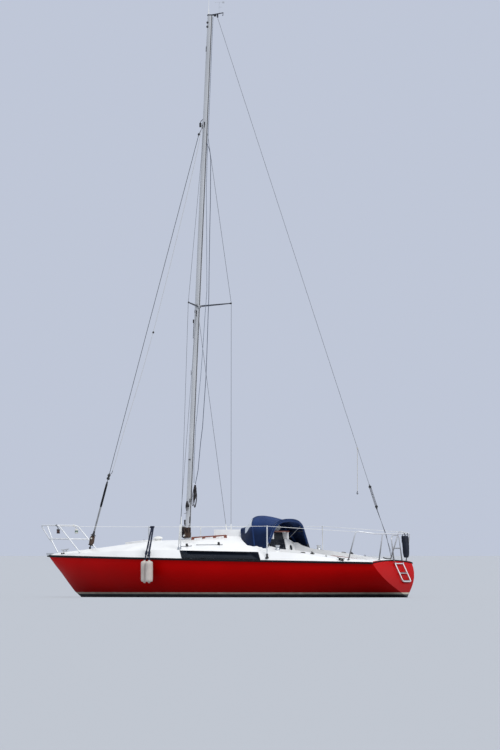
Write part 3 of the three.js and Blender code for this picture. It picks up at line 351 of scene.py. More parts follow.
STRIPE_LOW = 0.062
STRIPE_HIGH = 0.096
hull_skin = shell_of("hull", angle=40)
for height in (STRIPE_LOW, STRIPE_HIGH):
    with editing():
        bpy.ops.mesh.bisect(plane_co=(0, 0, height), plane_no=(0, 0, 1))
hull_red = surface("hull_red", (0.46, 0, 0), (0.52, 0.0004, 0.0006), 1.4, (0.3, 0.45), 0.02, 9, shine=0.04)
# Painted shade: the red darkens towards the waterline, to half its colour at 0.05 m.
painted_shade_below(hull_red, 0.05, 0.7, 0.5)
boot_cream = surface("boot_cream", (0.3, 0.27, 0.21), (0.42, 0.39, 0.32), 9, (0.35, 0.6), 0.06, shine=0.2)
bottom_paint = surface("bottom_paint", (0.012, 0.014, 0.02), (0.03, 0.034, 0.042), 7, (0.7, 0.92), 0.35, 120)
fitted(hull_skin, "hull_moulding", hull_red, "hull")
repainted(hull_skin, boot_cream, lambda face: face.center.z < STRIPE_HIGH)
repainted(hull_skin, bottom_paint, lambda face: face.center.z < STRIPE_LOW)

# Keel. A cast iron fin, faired and painted with the same antifouling as the
# bottom, is bolted up under the hull.
fitted(shell_of("keel", 0.006, 50), "keel_fin", bottom_paint, "keel")

# Rudder and tiller. A foam-filled blade hangs on a steel stock, and a bent
# tiller of varnished hardwood is bolted into a steel head on top of it.
rudder_skin = shell_of("rudder", angle=40)
fitted(rudder_skin, "rudder_blade", bottom_paint, "rudder", "steering")
repainted(rudder_skin, steel_bright, lambda face: face.center.z > -0.16)
teak = surface("teak", (0.13, 0.028, 0.012), (0.27, 0.07, 0.03), 9, (0.3, 0.5), 0.25, 40, coat=0.25,
               stretch=(1, 9, 9))
fitted(shell_of("tiller", 0.009, 30, 3), "tiller_bent", teak, "tiller", "steering")


def block(low, high, edge=0.003, segments=2, around=(0, 0, 0)):
    """A block with rounded edges between two corners, which are measured from a place."""
    low = Vector(around) + Vector(low)
    high = Vector(around) + Vector(high)
    bpy.ops.object.select_all(action="DESELECT")
    bpy.ops.mesh.primitive_cube_add(size=1, location=(low + high) / 2, scale=high - low)
    bpy.ops.object.transform_apply(location=True, rotation=True, scale=True)
    obj = bpy.context.object
    rounded_edge(obj, edge, segments)
    smooth(40)
    return obj


def stood(obj, foot, axis=UP, turn=0.0):
    """Moves a piece that was made at the origin to its foot, and turns its height along an axis."""
    tilt = UP.rotation_difference(axis).to_matrix().to_4x4()
    obj.data.transform(Matrix.Translation(foot) @ tilt @ Matrix.Rotation(math.radians(turn), 4, "Z"))
    return obj


def turned(profile, steps=32, foot=(0, 0, 0), axis=UP):
    """A round piece that stands on its foot. The profile lists its radius and height from there up."""
    bpy.ops.object.select_all(action="DESELECT")
    radius, height = profile[0]
    bpy.ops.mesh.primitive_circle_add(vertices=steps, radius=radius, fill_type="NGON",
                                      location=(0, 0, height))
    bpy.ops.object.transform_apply(location=True, rotation=True, scale=True)
    obj = bpy.context.object
    with editing():
        for (radius, height), (next_radius, next_height) in zip(profile, profile[1:]):
            bpy.ops.mesh.extrude_region_move(TRANSFORM_OT_translate={"value": (0, 0, next_height - height)})
            share = next_radius / radius
            bpy.ops.transform.resize(value=(share, share, 1), center_override=(0, 0, next_height))
        bpy.ops.mesh.select_all(action="SELECT")
        bpy.ops.mesh.normals_make_consistent(inside=False)
    smooth(38)
    return stood(obj, Vector(foot), axis)


def sheave(rim, waist, half, edge, steps, foot, way=(0, 1, 0)):
    """A round piece with a waist, which lies across a place. Its rim is at both its ends."""
    return turned([(rim, -half), (waist, -edge), (waist, edge), (rim, half)], steps, foot, Vector(way))


def rod(radius, half, steps, foot, way=(0, 1, 0)):
    """A plain round rod through a place."""
    return turned([(radius, -half), (radius, half)], steps, foot, Vector(way))


tiller_head = [block((-3.165, y - 0.003, 0.668), (-2.985, y + 0.003, 0.726)) for y in (-0.0285, 0.0285)]
tiller_head.append(block((-3.15, -0.031, 0.662), (-3.09, 0.031, 0.673)))
HEAD_BOLT = [(0.007, -0.036), (0.007, -0.0335), (0.0045, -0.033), (0.0045, 0.033), (0.007, 0.0335),
             (0.007, 0.036)]
for x in (-3.07, -3.01):
    tiller_head.append(turned(HEAD_BOLT, 12, (x, 0, 0.697), by(0, 1, 0)))
fitted(tiller_head, "tiller_head", steel_bright, body="steering")

# Rub rail. A black rubber section in an aluminium track covers the joint
# between hull and deck along both sides, and a thinner one caps the transom.
rubber_black = surface("rubber_black", (0.004, 0.004, 0.006), (0.012, 0.012, 0.015), 30, (0.5, 0.75), 0.2,
                       180, shine=0.15)
fitted(shell_of("rub_rail", 0.004, 30), "rub_rail_section", rubber_black, "rub_rail")

TRANSOM_TOP = {"aft": 7.31, "up": 0.71, "corner_up": 0.664, "half": 0.872}
transom_run = []
for i in range(25):
    across = i / 12 - 1
    up = TRANSOM_TOP["corner_up"] + (TRANSOM_TOP["up"] - TRANSOM_TOP["corner_up"]) * (1 - across ** 2)
    aft = TRANSOM_TOP["aft"] + (TRANSOM_TOP["up"] - up) * 0.35 / 0.71
    transom_run.append(at(aft + 0.004, across * TRANSOM_TOP["half"], up))
fitted(tube([transom_run], 0.0125, 0, 3), "rub_rail_transom", rubber_black)

# Deck. One white moulding with steep sides and a low coachroof. Its flats
# have a moulded grip pattern, with smooth margins between the panels.


def gripped(name):
    """White gelcoat with a studded grip in panels, on all that faces up."""
    paint = surface(name, (0.82, 0.82, 0.82), (0.9, 0.9, 0.9), 2.2, (0.28, 0.45), coat=0.2)
    panels = wired(paint, "TexBrick", {"Vector": own_space(paint), "Scale": 1.0, "Brick Width": 0.72,
                                       "Row Height": 0.34, "Mortar Size": 0.03, "Mortar Smooth": 0.0},
                   offset=0.0)
    studs = wired(paint, "TexVoronoi", {"Vector": own_space(paint), "Scale": 130.0})
    facing = wired(paint, "NewGeometry", {}).outputs["Normal"]
    upward = wired(paint, "SeparateXYZ", {"Vector": facing}).outputs["Z"]
    flat = wired(paint, "MapRange", {"Value": upward, "From Min": 0.93, "From Max": 0.95})
    inside = wired(paint, "Math", {0: flat, 1: panels.outputs["Fac"]}, operation="SUBTRACT", use_clamp=True)
    height = wired(paint, "Math", {0: inside, 1: studs.outputs["Distance"]}, operation="MULTIPLY")
    return raised(paint, height, 0.5, 0.0015)


def tree_of(obj):
    """Finds places on a piece's skin."""
    return BVHTree.FromPolygons([vertex.co for vertex in obj.data.vertices],
                                [face.vertices for face in obj.data.polygons])


deck_white = gripped("deck_white")
deck_skin = shell_of("deck", angle=28)
deck_tree = tree_of(deck_skin)
fitted(deck_skin, "deck_moulding", deck_white, "deck")
repainted(deck_skin, hull_red, lambda face: face.normal.x < -0.8 and face.center.x < -3.4)


def is_inward(face):
    """Inside the cockpit the hull's own edge has the deck's white finish."""
    inward = face.normal.y * face.center.y < -0.01 or face.normal.z > 0.9 or abs(face.normal.x) > 0.97
    return inward and face.center.z > STRIPE_HIGH


repainted(hull_skin, deck_white, is_inward)


def on_deck(aft, side):
    """The place on the deck at a distance aft and to port, and the way it faces."""
    place, facing_up, _, _ = deck_tree.ray_cast(at(aft, side, 2.0), -UP)
    return place, facing_up


def above_deck(aft, side, lift):
    """A place above the deck, or below it where the lift is negative."""
    return at(aft, side, on_deck(aft, side)[0].z + lift)


def seated(obj, aft, side, turn=0.0, sunk=0.002):
    """Sets a fitting that was made at the origin down on the deck, turned by degrees."""
    place, facing_up = on_deck(aft, side)
    return stood(obj, place - facing_up * sunk, facing_up, turn)


# Windows. One long strip of smoked acrylic on each side is bonded over the
# opening in the deck's steep side, with a black band round its edge.


def inset(obj, chosen, rims, paint, outer=False):
    """Insets faces by rims of a width and a depth, and paints what is inside them or all the rest."""
    if paint.name not in obj.data.materials:
        obj.data.materials.append(paint)
    with editing("DESELECT"):
        pass
    for face in obj.data.polygons:
        face.select = chosen(face)
    bpy.ops.object.mode_set(mode="EDIT")
    for width, depth in rims:
        bpy.ops.mesh.inset(thickness=width, depth=depth)
    if outer:
        bpy.ops.mesh.select_all(action="INVERT")
    obj.active_material_index = obj.data.materials.find(paint.name)
    bpy.ops.object.material_slot_assign()
    bpy.ops.object.mode_set(mode="OBJECT")


acrylic_smoked = surface("acrylic_smoked", (0.006, 0.01, 0.018), (0.011, 0.016, 0.026), 3, (0.2, 0.35),
                         shine=0.1)
sealant = surface("sealant", (0.006, 0.006, 0.006), (0.012, 0.012, 0.012), 60, (0.5, 0.7), 0.2, 200)
for word, side in SIDES:
    pane = shell_of("window_" + word, 0.0015, 30)
    fitted(pane, "window_pane_" + word, acrylic_smoked, "window_" + word)
    inset(pane, lambda face: face.normal.y * side > 0.6, [(0.012, 0)], sealant, True)

# Cockpit. The moulding sits in the deck, with a foot well between two seats
# and a bench aft over the rudder's bearing. Two drains empty the well.
fitted(shell_of("cockpit", 0.014, 35, 3), "cockpit_moulding", deck_white, "cockpit")
WELL_FLOOR = 0.26
DRAIN = [(0.034, 0), (0.034, 0.004), (0.03, 0.006), (0.026, 0.003), (0.002, 0.0025)]
BEARING = [(0.052, 0), (0.052, 0.006), (0.046, 0.01), (0.036, 0.012), (0.034, 0.036), (0.03, 0.04),
           (0.0275, 0.04)]
drains = [turned(DRAIN, 28, at(6.56, side * 0.2, WELL_FLOOR - 0.0005)) for side in (-1, 1)]
fitted(drains, "cockpit_drains", steel_bright)
fitted(turned(BEARING, 32, at(6.95, 0, 0.5995)), "rudder_bearing_collar", rubber_black)

# Locker lids. Each seat has one, of the same white moulding, hinged along its
# outboard edge on two steel hinges, with a flush lift ring inboard.
LID_TOP = 0.622
LIFT_CUP = [(0.026, 0), (0.026, 0.002), (0.022, 0.0035), (0.018, 0.002), (0.001, 0.0015)]
LEAF_SCREW = [(0.004, 0), (0.004, 0.0008), (0.0025, 0.0014), (0.0008, 0.0015)]
for word, side in SIDES:
    body = word + "_locker_lid"
    lid = shell_of("locker_lid_" + word, 0.006, 35, 3)
    fitted(lid, "locker_lid_moulded_" + word, deck_white, "locker_lid_" + word, body)
    turns = [i / 24 * math.tau for i in range(25)]
    loop = [by(math.cos(turn) * 0.0165, math.sin(turn) * 0.0165, 0.004) for turn in turns]
    lift_ring = joined([turned(LIFT_CUP, 28), tube([loop], 0.0022, 0)])
    stood(lift_ring, at(5.53, side * 0.372, LID_TOP - 0.0003))
    fitted(lift_ring, "locker_lift_ring_" + word, steel_bright, body=body)
    leaves = []
    for aft in (5.32, 5.74):
        low = at(aft + 0.032, side * 0.614 - 0.016, LID_TOP - 0.0005)
        high = at(aft - 0.032, side * 0.614 + 0.012, LID_TOP + 0.0025)
        leaves.append(block(low, high, 0.001))
        for x in (-0.018, 0.018):
            leaves.append(turned(LEAF_SCREW, 12, at(aft + x, side * 0.606, LID_TOP + 0.002)))
    fitted(leaves, "locker_hinge_leaves_" + word, steel_bright, body=body)

# Companionway. A hatch slides forward on two runners into a low garage, over
# three dark acrylic washboards that stand in the leaning bulkhead.
fitted(shell_of("hatch_garage", 0.012, 35, 3), "garage_moulding", deck_white, "hatch_garage")
hatch_skin = shell_of("main_hatch", 0.009, 35, 3)
fitted(hatch_skin, "sliding_hatch", deck_white, "main_hatch", "main_hatch")
TEAK_EDGE_X = -1.1
alone(hatch_skin)
with editing():
    bpy.ops.mesh.bisect(plane_co=(TEAK_EDGE_X, 0, 0), plane_no=(1, 0, 0))
repainted(hatch_skin, teak, lambda face: face.center.x < TEAK_EDGE_X)
HATCH_GRIP = [(-0.09, 1.278), (-0.09, 1.283), (0.09, 1.283), (0.09, 1.278)]
hatch_handle = tube([[at(4.86, y, up) for y, up in HATCH_GRIP]], 0.004, 0.004)
fitted(hatch_handle, "sliding_hatch_handle", steel_bright, body="main_hatch")
board_smoked = surface("board_smoked", (0.006, 0.008, 0.012), (0.014, 0.017, 0.025), 6, (0.22, 0.38),
                       shine=0.08)
BOARD_JOINTS = [0.5, 0.815, 1.03, 1.3]
BOARD_GAP = 0.0015
boards = []
for low, high in zip(BOARD_JOINTS, BOARD_JOINTS[1:]):
    board = shell_of("washboards")
    with editing():
        for cut, above in ((low + BOARD_GAP, True), (high - BOARD_GAP, False)):
            bpy.ops.mesh.bisect(plane_co=(0, 0, cut), plane_no=(0, 0, 1), use_fill=True, clear_inner=above,
                                clear_outer=not above)
            bpy.ops.mesh.select_all(action="SELECT")
        bpy.ops.mesh.dissolve_limited(angle_limit=math.radians(1))
    rounded_edge(board, 0.002, 2, 35)
    boards.append(board)
washboards = joined(boards)
smooth(35)
fitted(washboards, "washboards_smoked", board_smoked, "washboards")
RAKE = 0.21


def bulkhead_aft(up):
    """How far aft the leaning bulkhead's face stands at a height."""
    return 4.95 - RAKE * (up - 0.6)


BULKHEAD_OUT = Vector((-1, 0, RAKE)).normalized()
lean_foot = Vector((-1.141, 0, 0.6))
lean = Matrix.Translation(lean_foot) @ Matrix.Shear("XY", 4, (RAKE, 0)) @ Matrix.Translation(-lean_foot)
slides = []
for y in (-0.313, 0.313):
    slides.append(block((-1.152, y - 0.012, 0.63), (-1.13, y + 0.012, 1.235)))
    slides[-1].data.transform(lean)
fitted(slides, "washboard_slides", board_smoked)

# Bulkhead instruments. A compass with a pale ring and a domed dark card is on
# the starboard side, and two round repeaters with dark dials are to port.
lamp_dark = surface("lamp_dark", (0.01, 0.01, 0.011), (0.028, 0.028, 0.03), 25, (0.3, 0.5), 0.08, 200)
plastic_white = surface("plastic_white", (0.7, 0.7, 0.68), (0.82, 0.82, 0.8), 12, (0.35, 0.5), 0.05, 200)
INSTRUMENTS = [
    {"name": "compass", "side": -0.6, "up": 0.95, "size": 0.068},
    {"name": "repeater_inner", "side": 0.47, "up": 0.96, "size": 0.052},
    {"name": "repeater_outer", "side": 0.61, "up": 0.96, "size": 0.052},
]
DIAL_RING = [(1, 0), (1, 0.012), (0.96, 0.016), (0.84, 0.017), (0.8, 0.012)]
DIAL_FACE = [(0.82, 0.001), (0.82, 0.013), (0.7, 0.019), (0.45, 0.023), (0.2, 0.0245)]
for dial in INSTRUMENTS:
    foot = at(bulkhead_aft(dial["up"]) - 0.004, dial["side"], dial["up"])
    ring = [(dial["size"] * share, up) for share, up in DIAL_RING]
    fitted(turned(ring, 40, foot, BULKHEAD_OUT), dial["name"] + "_ring", plastic_white)
    face = [(dial["size"] * share, up) for share, up in DIAL_FACE] + [(0.001, 0.025)]
    fitted(turned(face, 40, foot, BULKHEAD_OUT), dial["name"] + "_face", acrylic_smoked)

# Fore hatch. A square frame of white-coated alloy stands on the foredeck and
# holds a tinted lid, on two hinges at its forward edge and with two handles.
alloy_satin = surface("alloy_satin", (0.4, 0.41, 0.43), (0.52, 0.53, 0.55), 5, (0.32, 0.5), 0.08, 300,
                      metal=0.75)
hatch_white = surface("hatch_white", (0.74, 0.74, 0.74), (0.83, 0.83, 0.83), 9, (0.3, 0.5), 0.05, 200)
frame_skin = shell_of("fore_hatch_frame", 0.004, 35)
fitted(frame_skin, "fore_hatch_frame_cast", hatch_white, "fore_hatch_frame")
lid_skin = shell_of("fore_hatch", 0.004, 35)
fitted(lid_skin, "fore_hatch_lid", hatch_white, "fore_hatch", "fore_hatch")
top_face = max(lid_skin.data.polygons, key=lambda face: face.area * face.normal.z)
lid_up = top_face.normal.copy()
lid_middle = top_face.center.copy()
for way, rim in ((1, 0.026), (-1, 0.04)):
    widest = max(lid_skin.data.polygons, key=lambda face: face.area * face.normal.z * way).index
    inset(lid_skin, lambda face: face.index == widest, [(rim, 0), (0.003, -0.002)], acrylic_smoked)
lid_fore = Vector((0, 1, 0)).cross(lid_up).normalized()
LID_KNOB = [(0.02, 0), (0.02, 0.003), (0.012, 0.006), (0.011, 0.012), (0.001, 0.0135)]
handles = []
hinges = []
for side in (-1, 1):
    handle = joined([turned(LID_KNOB, 24), block((-0.035, -0.006, 0.006), (0.006, 0.006, 0.012), 0.002)])
    handles.append(stood(handle, lid_middle - lid_fore * 0.13 + by(0, side * 0.12, 0) - lid_up * 0.0022,
                         lid_up))
fitted(handles, "fore_hatch_handles", lamp_dark, body="fore_hatch")
for side in (-1, 1):
    hinge = joined([block((-0.03, -0.014, 0), (0.012, 0.014, 0.004), 0.0015),
                    rod(0.0055, 0.016, 16, (0.004, 0, 0.002))])
    hinges.append(stood(hinge, lid_middle + lid_fore * 0.208 + by(0, side * 0.14, 0), lid_up))
fitted(hinges, "fore_hatch_hinges", alloy_satin, body="fore_hatch")

# Deck vent. A white plastic dome on a short neck lets air into the forecabin
# and keeps the rain out.
VENT = [(0.066, -0.004), (0.066, 0.03), (0.08, 0.035), (0.094, 0.04), (0.095, 0.048), (0.09, 0.056),
        (0.078, 0.068), (0.055, 0.081), (0.028, 0.088), (0.002, 0.0895)]
fitted(seated(turned(VENT, 40), 2.33, 0), "vent_dome", plastic_white, "deck_vent")

# Handrails. Two teak grab rails are screwed along the coachroof, each sawn
# from one plank with four feet and rounded finger holes between them.
RAIL_FORE = 3.292
RAIL_AFT = 4.048
RAIL_SIDE = 0.5
RAIL_RISE = 0.0455
RAIL_BAR = 0.021
RAIL_HALF_FOOT = 0.029
RAIL_FEET = 4
RAIL_THICK = 0.019
# Half of a foot's outline, from the bar down to the deck: how far beyond the foot's
# end, measured from which level, and how much above that level
FOOT_OUTLINE = [(0.012, "bar", 0), (-0.004, "bar", -0.004), (0, "deck", 0)]


def rail_top(aft):
    """The rail's top runs straight between its two ends."""
    share = (aft - RAIL_FORE) / (RAIL_AFT - RAIL_FORE)
    fore_up, aft_up = [on_deck(end, RAIL_SIDE)[0].z for end in (RAIL_FORE, RAIL_AFT)]
    return fore_up + (aft_up - fore_up) * share + RAIL_RISE + RAIL_BAR / 2


spacing = (RAIL_AFT - RAIL_FORE - 2 * RAIL_HALF_FOOT) / (RAIL_FEET - 1)
rail_outline = [(RAIL_FORE + 0.012, rail_top(RAIL_FORE)), (RAIL_AFT - 0.012, rail_top(RAIL_AFT))]
for i in reversed(range(RAIL_FEET)):
    foot = RAIL_FORE + RAIL_HALF_FOOT + spacing * i
    levels = {"bar": rail_top(foot) - RAIL_BAR, "deck": on_deck(foot, RAIL_SIDE)[0].z - 0.003}
    for way, rows in ((1, FOOT_OUTLINE), (-1, FOOT_OUTLINE[::-1])):
        rail_outline += [(foot + way * (RAIL_HALF_FOOT + reach), levels[level] + rise)
                         for reach, level, rise in rows]
rail_outline[2] = (RAIL_AFT, rail_top(RAIL_AFT) - 0.012)
rail_outline[-1] = (RAIL_FORE, rail_top(RAIL_FORE) - 0.012)
for word, side in SIDES:
    shape = bpy.data.curves.new("rail", "CURVE")
    shape.dimensions = "2D"
    shape.fill_mode = "BOTH"
    shape.extrude = RAIL_THICK / 2 - 0.002
    shape.bevel_depth = 0.002
    shape.bevel_resolution = 2
    trace(shape, rounded([Vector((aft, up, 0)) for aft, up in rail_outline], 0.008, 4)).use_cyclic_u = True
    placed("rail", shape)
    bpy.ops.object.convert(target="MESH")
    rail = bpy.context.object
    rail.data.transform(Matrix(((-1, 0, 0, BOW), (0, 0, 1, side * RAIL_SIDE), (0, 1, 0, 0), (0, 0, 0, 1))))
    with editing():
        bpy.ops.mesh.remove_doubles(threshold=0.0001)
        bpy.ops.mesh.normals_make_consistent(inside=False)
    smooth(40)
    fitted(rail, "handrail_teak_" + word, teak, "handrail_" + word)

# Mast. A tube of anodised aluminium with a luff groove down its aft side,
# raked aft, on a cast step that is bolted through the coachroof.
MAST_FOOT = 1.124
MAST_BEND = 8.9
MAST_TOP = 11.195
MAST_RAKE = (3.445 - 2.96) / (MAST_TOP - MAST_FOOT)
MAST_HALF_LENGTH = 0.054
MAST_HALF_WIDTH = 0.036
TAPER = (100 / 108, 66 / 72, 1)


def mast_middle(up):
    return at(2.96 + MAST_RAKE * (up - MAST_FOOT), 0, up)


bpy.ops.object.select_all(action="DESELECT")
bpy.ops.mesh.primitive_circle_add(vertices=56, radius=1, fill_type="NGON", location=(0, 0, 0))
mast = bpy.context.object
for vertex in mast.data.vertices:
    in_groove = vertex.co.x < 0 and abs(vertex.co.y) < 0.12
    vertex.co = (vertex.co.x * MAST_HALF_LENGTH + 0.009 * in_groove, vertex.co.y * MAST_HALF_WIDTH, 0)
with editing():
    for start, end, share in ((MAST_FOOT, MAST_BEND, (1, 1, 1)), (MAST_BEND, MAST_TOP, TAPER)):
        step = mast_middle(end) - mast_middle(start)
        bpy.ops.mesh.extrude_region_move(TRANSFORM_OT_translate={"value": step})
        bpy.ops.transform.resize(value=share, center_override=mast_middle(end) - mast_middle(MAST_FOOT))
    bpy.ops.mesh.select_all(action="SELECT")
    bpy.ops.mesh.normals_make_consistent(inside=False)
smooth(35)
stood(mast, mast_middle(MAST_FOOT))
mast_alloy = surface("mast_alloy", (0.5, 0.51, 0.53), (0.62, 0.63, 0.65), 3, (0.34, 0.5), 0.06, 260,
                     metal=0.3, stretch=(4, 4, 0.3))
# The dark finish is the luff groove's slot and painted shade: it goes on every face that looks aft, so the
# whole aft side of the tube reads as in shade.
mast_groove_and_shade = surface("mast_groove_and_shade", (0.06, 0.062, 0.068), (0.12, 0.122, 0.13), 5, (0.5, 0.7), 0.2, 180,
                      metal=0.2, shine=0.2)
fitted(mast, "mast_tube", mast_alloy, "mast")
repainted(mast, mast_groove_and_shade, lambda face: face.normal.x < -0.62)
step_low, step_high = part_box("mast_step")
step_parts = [block(step_low, (step_high.x, step_high.y, step_high.z - 0.006), 0.004)]
step_collar = turned([(1.0, 0), (1.0, 0.02), (0.96, 0.03), (0.9, 0.032)], 40)
step_collar.data.transform(Matrix.Diagonal((0.066, 0.047, 1, 1)))
step_parts.append(stood(step_collar, mast_middle(MAST_FOOT) - by(0, 0, 0.008)))
STEP_BOLT = [(0.011, 0), (0.011, 0.002), (0.0085, 0.003), (0.0085, 0.008), (0.006, 0.009)]
for x in (-0.095, 0.095):
    for y in (-0.055, 0.055):
        step_parts.append(turned(STEP_BOLT, 12, at(2.96 - x, y, step_high.z - 0.007)))
fitted(step_parts, "mast_step_cast", alloy_satin, "mast_step")

# Mast fittings. Exit slots with plates, a small winch, cleats, a jammer and a
# deck lamp are riveted on the tube, and a boot of dark cloth wraps its foot.


def against_mast(up, turn, off=0.0):
    """A place on the mast's skin and the way it faces. A turn of 0 is forward and 90 is to port."""
    across = math.radians(turn)
    out = Vector((math.cos(across) * MAST_HALF_LENGTH, math.sin(across) * MAST_HALF_WIDTH, 0))
    facing_out = Vector((math.cos(across) / MAST_HALF_LENGTH, math.sin(across) / MAST_HALF_WIDTH, 0))
    facing_out.normalize()
    return mast_middle(up) + out + facing_out * off, facing_out


def riveted(obj, up, turn, off=0.0, spin=0.0):
    place, out = against_mast(up, turn, off)
    return stood(obj, place, out, spin)


SLOTS = [
    {"up": 1.49, "turn": 148, "long": 0.125, "wide": 0.026},
    {"up": 1.86, "turn": 125, "long": 0.075, "wide": 0.016},
    {"up": 2.04, "turn": 235, "long": 0.075, "wide": 0.016},
    {"up": 10.55, "turn": 38, "long": 0.1, "wide": 0.02},
    {"up": 9.12, "turn": 20, "long": 0.08, "wide": 0.016},
    {"up": 5.5, "turn": 42, "long": 0.045, "wide": 0.022},
    {"up": 2.645, "turn": 78, "long": 0.016, "wide": 0.05},
]
slots = []
for slot in SLOTS:
    plate = block((-slot["long"] / 2, -slot["wide"] / 2, -0.004),
                  (slot["long"] / 2, slot["wide"] / 2, 0.003), 0.002)
    place, out = against_mast(slot["up"], slot["turn"])
    long_way = Vector((-MAST_RAKE, 0, 1)).normalized()
    across = long_way.cross(out).normalized()
    axes = Matrix((long_way, -across, across.cross(long_way))).transposed().to_4x4()
    plate.data.transform(Matrix.Translation(place) @ axes)
    slots.append(plate)
fitted(slots, "mast_slots", lamp_dark)
MAST_WINCH = [(0.028, -0.004), (0.028, 0.01), (0.02, 0.015), (0.018, 0.04), (0.024, 0.052), (0.024, 0.06),
              (0.01, 0.063)]
fitted(riveted(turned(MAST_WINCH, 24), 1.76, 90), "mast_winch", lamp_dark)
jammer = riveted(block((-0.05, -0.016, -0.004), (0.045, 0.016, 0.028), 0.006, 3), 1.44, 0)
deck_lamp = riveted(block((-0.036, -0.018, -0.004), (0.036, 0.018, 0.026), 0.009, 3), 5.31, 0)
fitted([jammer, deck_lamp], "mast_jammer_and_lamp", lamp_dark)
lamp_wire = [against_mast(up, 8, 0.006)[0] for up in (5.28, 5.2, 5.1, 4.98)]
fitted(tube([lamp_wire], 0.0045, 0, 2), "mast_lamp_wire", rubber_black)
cleats = []
for up, turn in ((1.62, 60), (1.58, 300), (1.95, 270), (4.32, 0)):
    horn_run = [by(x, 0, z) for x, z in ((-0.045, 0.026), (-0.02, 0.02), (0.02, 0.02), (0.045, 0.026))]
    horn = tube([horn_run], 0.006, 0.02)
    post = block((-0.016, -0.009, -0.003), (0.016, 0.009, 0.02), 0.004)
    cleats.append(riveted(joined([horn, post]), up, turn))
fitted(cleats, "mast_cleats", alloy_satin)
boot_brown = surface("boot_brown", (0.012, 0.009, 0.009), (0.04, 0.026, 0.022), 30, (0.7, 0.9), 0.5, 160,
                     shine=0.2)
BOOT = [(1.0, 0), (1.04, 0.01), (1.0, 0.03), (1.03, 0.05), (0.99, 0.075), (1.02, 0.1), (0.99, 0.125),
        (1.02, 0.15), (0.98, 0.175), (1.0, 0.2), (0.93, 0.205)]
boot = turned(BOOT, 48)
boot.data.transform(Matrix(((0.0625, 0, -MAST_RAKE, 0), (0, 0.0445, 0, 0), (0, 0, 1, 0), (0, 0, 0, 1))))
fitted(stood(boot, mast_middle(1.135)), "mast_boot", boot_brown)

# Ropes at the mast. Spare halyard ends are coiled on the cleats, in front of the
# foot and behind the tube, and two halyards hang slack behind the mast.
rope_dark = braided("rope_dark", (0.01, 0.009, 0.012), (0.045, 0.036, 0.036))
rope_brown = braided("rope_brown", (0.04, 0.022, 0.015), (0.11, 0.065, 0.045))
rope_slate = braided("rope_slate", (0.05, 0.062, 0.09), (0.11, 0.13, 0.18))
rope_blue = braided("rope_blue", (0.13, 0.16, 0.21), (0.24, 0.28, 0.34))


def hank(top, height, width, loops, thickness):
    """A coil of rope that hangs from its top in uneven loops, with three turns round its neck."""
    run = []
    for i in range(loops * 16 + 1):
        turn = i / 16 * math.tau
        loop = i / 16
        drop = height * (0.5 - 0.5 * math.cos(turn)) * (0.74 + 0.26 * math.sin(loop * 2.3))
        belly = 0.3 + 0.7 * math.sin(min(drop / height, 0.95) * 2.9)
        sway = width / 2 * math.sin(turn) * belly * (0.62 + 0.38 * math.sin(loop * 1.9 + 1))
        lean = width * 0.22 * math.sin(loop * 1.3) * drop / height
        run.append(top + by(sway + lean + MAST_RAKE * drop, (loop - loops / 2) * thickness * 0.9, -drop))
    round_neck = (width * 0.17, loops * thickness * 0.62)
    neck = wound(lambda rise: top + by(0, 0, -0.05 - rise), round_neck, 3, thickness)
    return tube([run, neck], thickness / 2, 0, 3)


HANKS = [
    {"name": "fore", "up": 1.37, "turn": 0, "off": 0.05, "high": 0.235, "wide": 0.1, "loops": 9,
     "thick": 0.012},
    {"name": "port", "up": 1.85, "turn": 90, "off": 0.05, "high": 0.19, "wide": 0.05, "loops": 4,
     "thick": 0.011},
    {"name": "aft", "up": 2.16, "turn": 180, "off": 0.062, "high": 0.44, "wide": 0.08, "loops": 7,
     "thick": 0.011},
]
for row in HANKS:
    top, _ = against_mast(row["up"], row["turn"], row["off"])
    coil = hank(top, row["high"], row["wide"], row["loops"], row["thick"])
    fitted(coil, "halyard_coil_" + row["name"], rope_dark)
# Halyard tails come down from the cleats to the foot, close along the tube
TAILS = [
    {"turn": 30, "up": 1.42, "sway": 0.012, "paint": rope_dark},
    {"turn": 66, "up": 1.36, "sway": -0.01, "paint": rope_brown},
    {"turn": 128, "up": 1.38, "sway": -0.008, "paint": rope_brown},
    {"turn": 300, "up": 1.56, "sway": 0.01, "paint": rope_dark},
]
for i, row in enumerate(TAILS):
    run = []
    for step in range(13):
        share = step / 12
        turn = row["turn"] + math.degrees(row["sway"] * math.sin(share * math.pi * 2) / 0.04)
        up = row["up"] + (1.135 - row["up"]) * share
        run.append(against_mast(up, turn, 0.012 + 0.01 * math.sin(share * math.pi))[0])
    fitted(tube([run], 0.0058, 0, 3), "halyard_tail_" + str(i + 1), row["paint"])
WHIPPING = [(0.005, 0), (0.013, 0.006), (0.016, 0.018), (0.012, 0.03), (0.004, 0.036)]
fitted(turned(WHIPPING, 16, against_mast(1.17, 62, 0.03)[0]), "halyard_tail_whipping", rope_pale)
foot_turns = wound(lambda rise: mast_middle(1.16 + rise), (0.0685, 0.0505), 6, 0.014, 24)
fitted(tube([foot_turns], 0.005, 0, 3), "mast_foot_turns", rope_brown)
